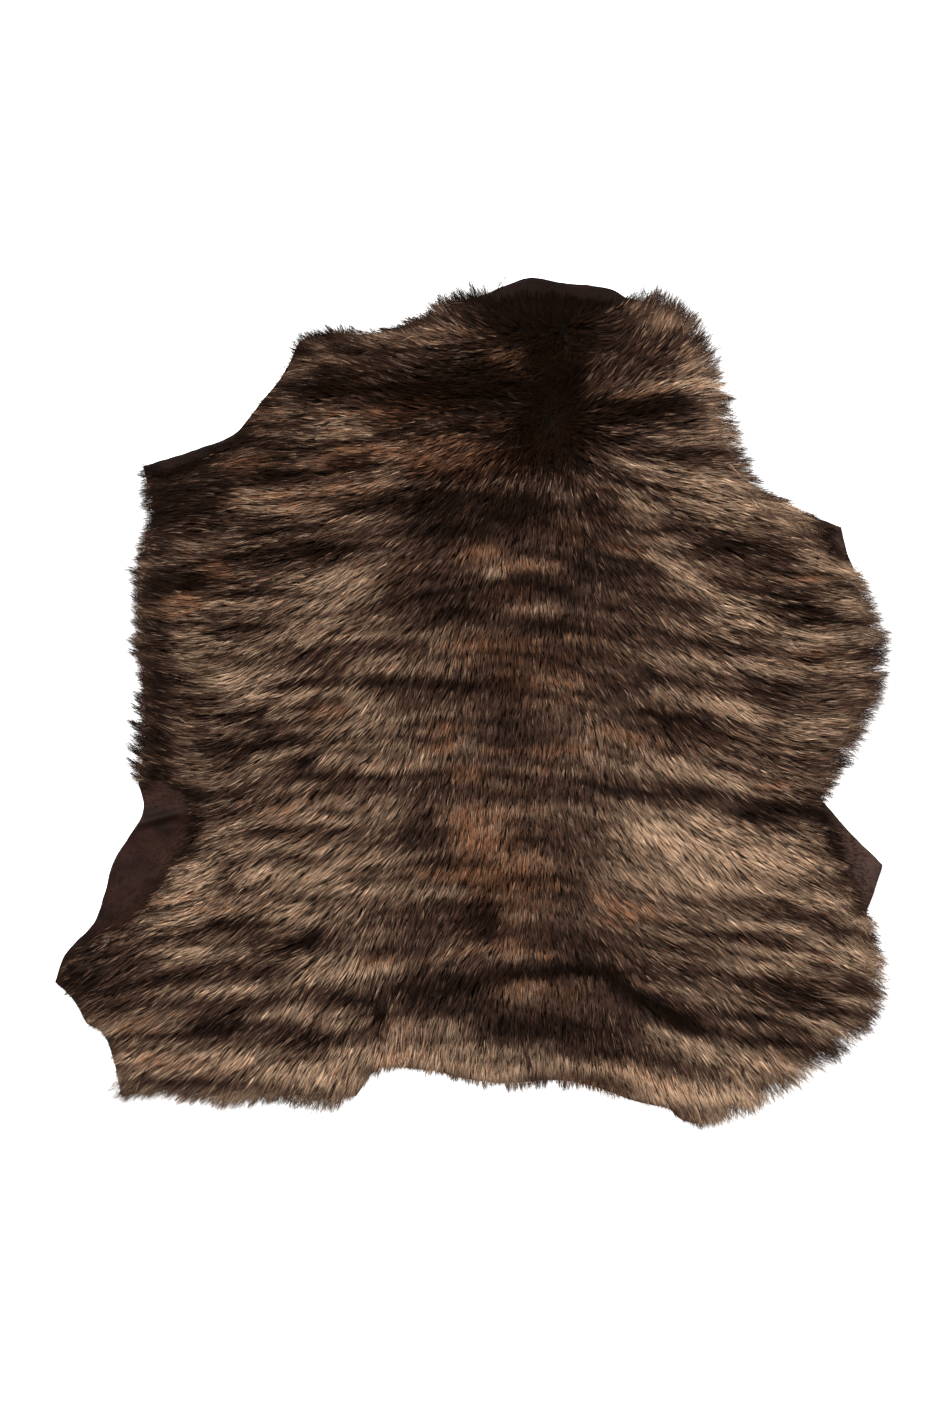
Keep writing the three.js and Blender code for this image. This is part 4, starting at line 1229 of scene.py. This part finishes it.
def laid_paths(skin, tufts, tuft, length, moved, stand, least):
    """The points of strands along the paths of their tufts. moved gives how far ahead and
    how far aside of the path they lie after a share of their length, and least holds their
    least height at the root and what is added to it at the tip."""
    paths = np.empty((len(tuft), len(STATIONS), 3))
    for k, share in enumerate(STATIONS):
        x, y, heading = tufts.along(tuft, length * share)
        ahead, aside = moved(share)
        x = x + ahead * np.cos(heading) - aside * np.sin(heading)
        y = y + ahead * np.sin(heading) + aside * np.cos(heading)
        rise = 1 - (1 - share) ** RISE
        z = skin.ground.at(x, y) + skin.pile.at(x, y) * stand * rise
        paths[:, k] = np.stack([x, y, np.maximum(z, least[0] + least[1] * share)], axis=1)
    return paths


def comb_wool(skin, wool):
    """Paths, widths, rolls and colour coordinates of all the strands."""
    rng = np.random.default_rng(SEED)
    root_x, root_y = tuft_roots(skin, wool.tuft_pitch / MM, rng, 0.5)
    crown_x, crown_y = crown_tufts(skin, wool.tuft_pitch / MM, rng)
    root_x = np.concatenate([root_x, crown_x])
    root_y = np.concatenate([root_y, crown_y])
    tufts_count = len(root_x)
    crowned = np.arange(tufts_count) >= tufts_count - len(crown_x)
    turned = rng.normal(0, TUFT_TURN, tufts_count)
    turned = turned + crowned * rng.normal(0, CROWN_TURN, tufts_count)
    tufts = Tufts(skin, root_x, root_y, PATH_LENGTH * wool.length / MM, turned, crowned)
    per = wool.strands
    tuft = np.repeat(np.arange(tufts_count), per)
    count = len(tuft)
    lock = np.clip(tufts.streaks(LOCK_PITCH, LOCK_SEED), -2, 2)
    wisp = ease(0.5 + 0.4 * (layered(WISP_LUMPS, root_x, root_y) + 0.5 * lock))
    tuft_length = skin.length.at(root_x, root_y) * rng.uniform(*TUFT_LENGTHS, tufts_count)
    tuft_length = np.where(crowned, CROWN_LENGTH * tuft_length, tuft_length)
    cap = tufts.most(FRINGE[0] + FRINGE[1] * wisp * rng.uniform(0.7, 1.1, tufts_count))
    tuft_length = np.minimum(tuft_length, np.maximum(cap, SHORTEST))
    length = tuft_length[tuft] * rng.uniform(*STRAND_LENGTHS, count)
    # The strands of a tuft stand in a few bundles, each of one shade.
    bundle = tuft * BUNDLES + np.tile(np.arange(per) % BUNDLES, tufts_count)
    bundles = tufts_count * BUNDLES

    def draw(spreads):
        return rng.normal(0, spreads[0], bundles)[bundle] + rng.normal(0, spreads[1], count)

    ahead = draw(AHEAD)
    aside = draw(ASIDE)
    stand = STAND + LOCK_STAND * lock + rng.normal(0, STAND_SPREAD, tufts_count)
    stand = np.clip(stand, 0.3, 1.2)[tuft]
    fine = rng.uniform(0, 1, count)
    stand = stand * (0.62 + 0.42 * fine + rng.uniform(-0.08, 0.08, count))
    splay = draw(SPLAY)

    def moved(share):
        gathered = aside * (1 - 0.4 * share) + splay * share**1.5
        return ahead * (1 - 0.3 * share), gathered

    paths = laid_paths(skin, tufts, tuft, length, moved, stand, LEAST_HEIGHTS)
    inner = ease(skin.to_foot.at(paths[:, 0, 0], paths[:, 0, 1]) / RIM_WIDTH_RUN)
    width = wool.strand_width / MM * (1.35 - 0.7 * fine)
    width = width * (RIM_WIDTH + (1 - RIM_WIDTH) * inner)
    roll = rng.uniform(-TWIST, TWIST, count)
    # The lock term is painted shade: low tufts between the locks are darker.
    glow = GLOW + LOCK_PAINTED_SHADE * lock + rng.normal(0, GLOW_SPREAD, tufts_count)
    glow = np.clip(glow, 0.25, 0.9)[tuft] + draw(STRAND_GLOW)
    glow = np.clip(glow, 0.10, 1.0)
    odd = rng.uniform(0, 1, bundles)[bundle]
    shade = strand_shades(skin, paths[..., 0], paths[..., 1], rng, glow, odd)
    return paths, width, roll, shade


def single_strands(skin, x, y, turned, length, stand, width, rng, glow):
    """Strands with a path of their own each, for the stray hair and the nap."""
    hairs = Tufts(skin, x, y, float(length.max()), turned)
    every = np.arange(len(x))
    bend = rng.normal(0, SINGLE_BEND, len(x))

    def moved(share):
        return 0.0, bend * length * share**2

    paths = laid_paths(skin, hairs, every, length, moved, stand, LEAST_HEIGHTS_SINGLE)
    odd = rng.uniform(0, 1, len(x))
    shade = strand_shades(skin, paths[..., 0], paths[..., 1], rng, glow, odd)
    return paths, width, rng.uniform(-0.6, 0.6, len(x)), shade


def stray_hair(skin):
    """Thin single hairs along the furry edges, which pass the others there."""
    rng = np.random.default_rng(SEED + 1)
    at_tail = (np.abs(skin.edge[:, 0]) < TAIL_HALF) & (skin.edge[:, 1] < TAIL_TOP)
    furry = (skin.edge[:, 4] < 0.5) & (skin.edge[:, 2] > 2.5) & ~at_tail
    rows = skin.edge[furry]
    out = outward(skin.edge[:, :2])[furry]
    pick = rng.integers(0, len(rows), STRAYS)
    inset = rng.uniform(*STRAY_INSETS, STRAYS)
    x = rows[pick, 0] - out[pick, 0] * inset + rng.normal(0, 2.5, STRAYS)
    y = rows[pick, 1] - out[pick, 1] * inset + rng.normal(0, 2.5, STRAYS)
    turned = rng.normal(0, STRAY_TURN, STRAYS)
    length = inset + rows[pick, 2] * rng.uniform(*STRAY_REACHES, STRAYS)
    length = length + rng.uniform(*STRAY_EXTRAS, STRAYS)
    stand = rng.uniform(*STRAY_STANDS, STRAYS)
    width = rng.uniform(*STRAY_WIDTHS, STRAYS)
    glow = np.clip(rng.normal(*STRAY_GLOW, STRAYS), 0.15, 0.9)
    return single_strands(skin, x, y, turned, length, stand, width, rng, glow)


def wisps():
    """The locks of WISPS, whose hairs lie nearly side by side and fan out at their tips."""
    rng = np.random.default_rng(SEED + 3)
    locks = [Wisp(*row) for row in WISPS]
    lock = np.repeat(np.arange(len(locks)), [round(WISP_FULL * wisp.hairs) for wisp in locks])
    count = len(lock)
    root_x, root_y, tip_x, tip_y, _, width, fan, wisp_tone = np.array(locks)[lock].T
    root = np.stack([root_x, root_y], axis=1)
    span = np.stack([tip_x, tip_y], axis=1) - root
    size = np.hypot(span[:, 0], span[:, 1])
    along = span / size[:, None]
    side = np.stack([-along[:, 1], along[:, 0]], axis=1)
    place = rng.uniform(-0.5, 0.5, count)
    length = size * (0.3 + 0.9 * rng.uniform(0, 1, count) ** 1.3) * (1 - 0.3 * np.abs(place))
    start = rng.uniform(-8, 2, count)
    bend = rng.normal(0, WISP_BEND, count) * size
    paths = np.empty((count, len(STATIONS), 3))
    for k, share in enumerate(STATIONS):
        across = place * (width * WISP_FULL * (1 - share) + fan * share * WISP_FAN)
        across = across + bend * share**2
        spot = root + along * (start + length * share)[:, None] + side * across[:, None]
        paths[:, k, :2] = spot
        paths[:, k, 2] = WISP_HEIGHT * (1 - share) + 1.2 + rng.uniform(0, 1.5, count)
    tone = np.clip(wisp_tone + rng.normal(0, 0.05, count), 0.01, 1)
    shade = np.empty((count, len(STATIONS), 2))
    shade[..., 0] = (0.5 + 0.5 * tone)[:, None]
    shade[..., 1] = np.clip(rng.normal(0.55, 0.12, count), 0.2, 0.9)[:, None]
    return paths, rng.uniform(*WISP_WIDTHS, count), rng.uniform(-0.6, 0.6, count), shade


def leather_nap(skin):
    """Short dark hair on the bare leather, thinner the further it is from the wool."""
    rng = np.random.default_rng(SEED + 2)
    x, y = shaken_grid(NAP_PITCH, 0.0, 0.5, rng)
    away = -skin.to_foot.at(x, y)
    keep = (away > -2) & (skin.to_edge.at(x, y) > 1.2)
    keep &= rng.uniform(0, 1, len(x)) < np.exp(-np.maximum(away, 0) / NAP_RUN) + NAP_LEAST
    x, y, away = x[keep], y[keep], away[keep]
    count = len(x)
    room = np.clip(skin.to_edge.at(x, y) / 0.8, 2.0, 9.0)
    length = rng.uniform(*NAP_LENGTHS, count) * (0.5 + 0.5 * np.exp(-away / NAP_RUN))
    length = np.minimum(length, room)
    turned = rng.normal(0, NAP_TURN, count)
    stand = np.full(count, NAP_STAND)
    width = rng.uniform(*NAP_WIDTHS, count)
    glow = np.clip(rng.normal(*NAP_GLOW, count), 0.3, 0.9)
    paths, width, roll, shade = single_strands(
        skin, x, y, turned, length, stand, width, rng, glow,
    )
    shade[..., 0] = NAP_COLOUR + (shade[..., 0] - 0.5) * 0.06
    return paths, width, roll, shade


# Materials.


def new_node(tree, kind, values=None, **settings):
    """A new node with its settings. Each of its named inputs takes a value, or a link from
    the output that it is given."""
    node = tree.nodes.new(kind)
    for name, value in settings.items():
        setattr(node, name, value)
    for name, value in (values or {}).items():
        if isinstance(value, bpy.types.NodeSocket):
            tree.links.new(value, node.inputs[name])
        else:
            node.inputs[name].default_value = value
    return node


def new_material(name, roughness, specular):
    """A material with a surface shader alone, its node tree and that shader."""
    material = bpy.data.materials.new(name)
    material.use_nodes = True
    tree = material.node_tree
    tree.nodes.clear()
    surface = new_node(tree, "ShaderNodeBsdfPrincipled")
    surface.inputs["Roughness"].default_value = roughness
    surface.inputs["Specular IOR Level"].default_value = specular
    new_node(tree, "ShaderNodeOutputMaterial", {"Surface": surface.outputs["BSDF"]})
    return material, tree, surface


def add_bump(tree, surface, place, scale, detail, strength, distance):
    """Bumps a surface with fine noise."""
    values = {"Vector": place, "Scale": scale, "Detail": detail}
    grain = new_node(tree, "ShaderNodeTexNoise", values)
    values = {"Height": grain.outputs["Fac"], "Strength": strength, "Distance": distance}
    bump = new_node(tree, "ShaderNodeBump", values)
    tree.links.new(bump.outputs["Normal"], surface.inputs["Normal"])


def hair_colour_group():
    """The colour of hair from its colour coordinates: rust, black in the middle, and tan,
    times the brightness."""
    wool = bpy.context.scene.sheepskin_wool
    tree = bpy.data.node_groups.new("Hair colour", "ShaderNodeTree")
    for name in ("Darkest", "Brightest"):
        tree.interface.new_socket(name, in_out="INPUT", socket_type="NodeSocketFloat")
    tree.interface.new_socket("Color", in_out="OUTPUT", socket_type="NodeSocketColor")
    start = new_node(tree, "NodeGroupInput")
    place = new_node(tree, "ShaderNodeUVMap", uv_map="OFBake")
    parts = new_node(tree, "ShaderNodeSeparateXYZ", {"Vector": place.outputs["UV"]})
    ramp = new_node(tree, "ShaderNodeValToRGB", {"Fac": parts.outputs["X"]})
    elements = ramp.color_ramp.elements
    for i, (place_on_ramp, colour, gain) in enumerate(HAIR_STOPS):
        element = elements[i] if i < 2 else elements.new(place_on_ramp)
        element.position = place_on_ramp
        element.color = (*[min(c * gain, 1.0) for c in getattr(wool, colour)], 1.0)
    values = {
        "Value": parts.outputs["Y"],
        "To Min": start.outputs["Darkest"],
        "To Max": start.outputs["Brightest"],
    }
    bright = new_node(tree, "ShaderNodeMapRange", values)
    values = {0: ramp.outputs["Color"], "Scale": bright.outputs["Result"]}
    scale = new_node(tree, "ShaderNodeVectorMath", values, operation="SCALE")
    new_node(tree, "NodeGroupOutput", {"Color": scale.outputs["Vector"]})
    return tree


def hair_material(name, brightest, roughness, specular):
    """A material in the hair's colours, its node tree and its surface shader."""
    material, tree, surface = new_material(name, roughness, specular)
    values = {"Darkest": DARKEST_HAIR, "Brightest": brightest}
    group = shared(hair_colour_group)
    colour = new_node(tree, "ShaderNodeGroup", values, node_tree=group)
    tree.links.new(colour.outputs["Color"], surface.inputs["Base Color"])
    return material, tree, surface


def combed_material():
    return hair_material("Combed wool", *COMBED_LOOK)[0]


def under_wool_material():
    material, tree, surface = hair_material("Under wool", *UNDER_LOOK)
    place = new_node(tree, "ShaderNodeTexCoord").outputs["Object"]
    add_bump(tree, surface, place, *FIBRES)
    return material


def leather_material(hide):
    """Clouded leather, darker at the neck and forelegs, and lighter and greyer on the right
    hind flap."""
    material, tree, surface = new_material("Tanned leather", hide.roughness, LEATHER_SPECULAR)
    place = new_node(tree, "ShaderNodeTexCoord").outputs["Object"]
    values = {"Vector": place, "Scale": CLOUDS[0], "Detail": CLOUDS[1]}
    clouds = new_node(tree, "ShaderNodeTexNoise", values)
    ramp = new_node(tree, "ShaderNodeValToRGB", {"Fac": clouds.outputs["Fac"]})
    stops = zip(ramp.color_ramp.elements, CLOUD_STOPS, (hide.colour, hide.worn))
    for element, place_on_ramp, colour in stops:
        element.position = place_on_ramp
        element.color = (*colour, 1)
    parts = new_node(tree, "ShaderNodeSeparateXYZ", {"Vector": place})

    def fade(row, start):
        axis, from_place, to_place, end = row
        values = {"Value": parts.outputs[axis], "From Min": from_place, "From Max": to_place}
        values.update({"To Min": start, "To Max": end})
        return new_node(tree, "ShaderNodeMapRange", values).outputs["Result"]

    values = {0: fade(NECK_LEATHER, 1.0), 1: fade(FLAP_LEATHER, 1.0)}
    gain = new_node(tree, "ShaderNodeMath", values, operation="MULTIPLY")
    values = {0: ramp.outputs["Color"], "Scale": gain.outputs["Value"]}
    scale = new_node(tree, "ShaderNodeVectorMath", values, operation="SCALE")
    values = {"Factor": fade(FLAP_DUST, 0.0), "A": scale.outputs["Vector"], "B": DUST_COLOUR}
    mixed = new_node(tree, "ShaderNodeMix", values, data_type="RGBA")
    tree.links.new(mixed.outputs["Result"], surface.inputs["Base Color"])
    add_bump(tree, surface, place, *LEATHER_GRAIN)
    return material


def floor_material(stage):
    material, _, surface = new_material("Pale floor", 0.9, 0.0)
    surface.inputs["Base Color"].default_value = (*stage.floor, 1)
    surface.inputs["Emission Color"].default_value = (1, 1, 1, 1)
    surface.inputs["Emission Strength"].default_value = stage.floor_glow
    return material


# Operators.

SHARED = {}


def shared(make):
    """What make gives, made once for all the operators."""
    if make not in SHARED:
        SHARED[make] = make()
    return SHARED[make]


class SHEEPSKIN_OT_lay_leather(bpy.types.Operator):
    """Lay the sheet of tanned leather on the floor"""

    bl_idname = "sheepskin.lay_leather"
    bl_label = "Lay the leather"

    def execute(self, context):
        skin = shared(Skin)
        out = outward(skin.edge[:, :2])
        run = np.arange(len(skin.edge)) * EDGE_STEP
        stray = RAGGED * layered(EDGE_STRAY, run, run * 0)
        outline = skin.edge[:, :2] + out * stray[:, None]

        def top(x, y):
            bare = ease(-skin.to_foot.at(x, y) / 6)
            relief = troughs(CREASES, x, y) + layered(RIPPLES, x, y)
            return folds(x, y) + LEATHER_THICKNESS + bare * relief

        def shows(x, y):
            return skin.to_foot.at(x, y) < -1.5

        mesh = layer_mesh("leather", outline, LEATHER_STEP, folds, top, shows)
        material = leather_material(context.scene.sheepskin_hide)
        piece = finish_piece(mesh, material)
        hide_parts("hide")
        return {"FINISHED"}


class SHEEPSKIN_OT_raise_under_wool(bpy.types.Operator):
    """Raise the low under wool from which the strands come, dark partly as painted shade between them
    """

    bl_idname = "sheepskin.raise_under_wool"
    bl_label = "Raise the under wool"

    def execute(self, context):
        skin = shared(Skin)

        def bottom(x, y):
            return folds(x, y) + LEATHER_THICKNESS + PARTING * 0.5

        def top(x, y):
            high = skin.pile.at(x, y) * UNDER_SHARE * ease(skin.to_foot.at(x, y) / 14 + 0.05)
            return bottom(x, y) + 0.5 + high * (1 + layered(UNDER_LUMPS, x, y))

        out = outward(skin.foot[:, :2])
        outline = skin.foot[:, :2] - out * UNDER_INSET
        mesh = layer_mesh("under_wool", outline, UNDER_STEP, bottom, top)
        count = len(mesh.vertices)
        spots = np.empty(count * 3)
        mesh.vertices.foreach_get("co", spots)
        spots = spots.reshape(-1, 3) / MM - to_frame()
        tone = skin.tone.at(spots[:, 0], spots[:, 1])
        # Its low brightness is partly painted shade in the gaps between the strands.
        shade = np.stack([0.5 + UNDER_PALER * tone, np.full(count, UNDER_SHADED_BRIGHTNESS)], axis=1)
        corners = np.empty(len(mesh.loops), int)
        mesh.loops.foreach_get("vertex_index", corners)
        layer = mesh.uv_layers.new(name="OFBake")
        layer.data.foreach_set("uv", shade[corners].ravel())
        piece = finish_piece(mesh, under_wool_material())
        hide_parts("fleece")
        return {"FINISHED"}


class SHEEPSKIN_OT_comb_wool(bpy.types.Operator):
    """Comb the strands of wool over the skin, zone by zone"""

    bl_idname = "sheepskin.comb_wool"
    bl_label = "Comb the wool"

    def execute(self, context):
        skin = shared(Skin)
        paths, width, roll, shade = comb_wool(skin, context.scene.sheepskin_wool)
        left = np.ones(len(paths), bool)
        for name, from_y in ZONES:
            here = left & (paths[:, 0, 1] > from_y)
            left &= ~here
            mesh = strands_mesh(name, paths[here], width[here], roll[here], shade[here])
            finish_piece(mesh, shared(combed_material))
        return {"FINISHED"}


class SHEEPSKIN_OT_add_stray_hair(bpy.types.Operator):
    """Add the stray hairs along the edge and the nap on the bare leather"""

    bl_idname = "sheepskin.add_stray_hair"
    bl_label = "Add the stray hair"

    def execute(self, context):
        skin = shared(Skin)
        strays = [np.concatenate(pair) for pair in zip(stray_hair(skin), wisps())]
        for name, made in (("stray_hair", strays), ("leather_nap", leather_nap(skin))):
            mesh = strands_mesh(name, *made)
            finish_piece(mesh, shared(combed_material))
        return {"FINISHED"}


class SHEEPSKIN_OT_set_stage(bpy.types.Operator):
    """Lay the floor, hang the lights and stand the camera overhead"""

    bl_idname = "sheepskin.set_stage"
    bl_label = "Set the stage"

    def execute(self, context):
        stage = context.scene.sheepskin_stage
        scene = context.scene
        mesh = bpy.data.meshes.new("floor")
        signs = ((-1, -1), (1, -1), (1, 1), (-1, 1))
        corners = [(x * FLOOR_HALF, y * FLOOR_HALF, FLOOR_LEVEL) for x, y in signs]
        mesh.from_pydata(corners, [], [(0, 1, 2, 3)])
        mesh.materials.append(floor_material(stage))
        floor = bpy.data.objects.new("floor", mesh)
        scene.collection.objects.link(floor)
        world = bpy.data.worlds.new("Studio")
        world.use_nodes = True
        sky = world.node_tree.nodes["Background"]
        sky.inputs["Color"].default_value = (1, 1, 1, 1)
        sky.inputs["Strength"].default_value = stage.sky
        scene.world = world
        light = bpy.data.lights.new("key", "AREA")
        light.shape = "RECTANGLE"
        light.size, light.size_y = KEY_SIZE
        light.energy = stage.key_power
        key = bpy.data.objects.new("key", light)
        key.location = KEY_PLACE
        key.rotation_euler = (*np.radians(KEY_TILT), 0)
        scene.collection.objects.link(key)
        shift = to_frame()
        seen_height = IMAGE_HEIGHT * MM_PER_PIXEL * MM
        camera_data = bpy.data.cameras.new("camera")
        camera_data.lens = stage.lens
        camera_data.sensor_width = SENSOR
        distance = seen_height * camera_data.lens / camera_data.sensor_width
        camera = bpy.data.objects.new("camera", camera_data)
        camera.location = (
            (IMAGE_MIDDLE[0] + shift[0]) * MM, (IMAGE_MIDDLE[1] + shift[1]) * MM, distance,
        )
        scene.collection.objects.link(camera)
        scene.camera = camera
        scene.view_settings.view_transform = "Standard"
        return {"FINISHED"}


class SHEEPSKIN_PT_panel(bpy.types.Panel):
    """Lists the steps that build the sheepskin"""

    bl_label = "Sheepskin"
    bl_idname = "SHEEPSKIN_PT_panel"
    bl_space_type = "VIEW_3D"
    bl_region_type = "UI"
    bl_category = "Sheepskin"

    def draw(self, context):
        layout = self.layout
        for step in STEPS:
            layout.operator(step.bl_idname)


STEPS = (
    SHEEPSKIN_OT_set_stage,
    SHEEPSKIN_OT_lay_leather,
    SHEEPSKIN_OT_raise_under_wool,
    SHEEPSKIN_OT_comb_wool,
    SHEEPSKIN_OT_add_stray_hair,
)
SETTINGS = {
    "sheepskin_hide": HideSettings,
    "sheepskin_wool": WoolSettings,
    "sheepskin_stage": StageSettings,
}


def register():
    for kind in (*SETTINGS.values(), *STEPS, SHEEPSKIN_PT_panel):
        bpy.utils.register_class(kind)
    for name, kind in SETTINGS.items():
        setattr(bpy.types.Scene, name, PointerProperty(type=kind))


def unregister():
    for name in SETTINGS:
        delattr(bpy.types.Scene, name)
    for kind in reversed((*SETTINGS.values(), *STEPS, SHEEPSKIN_PT_panel)):
        bpy.utils.unregister_class(kind)


def declare_sheet():
    """Works out the leather's flat size from its cut edge, and does nothing further with it."""
    skin = shared(Skin)
    edge = skin.edge[:, :2]
    size = np.ptp(edge, axis=0) * MM
    following = np.roll(edge, -1, axis=0)


def main():
    register()
    for step in STEPS:
        group, name = step.bl_idname.split(".")
        getattr(getattr(bpy.ops, group), name)()
    declare_sheet()


if __name__ == "__main__":
    main()
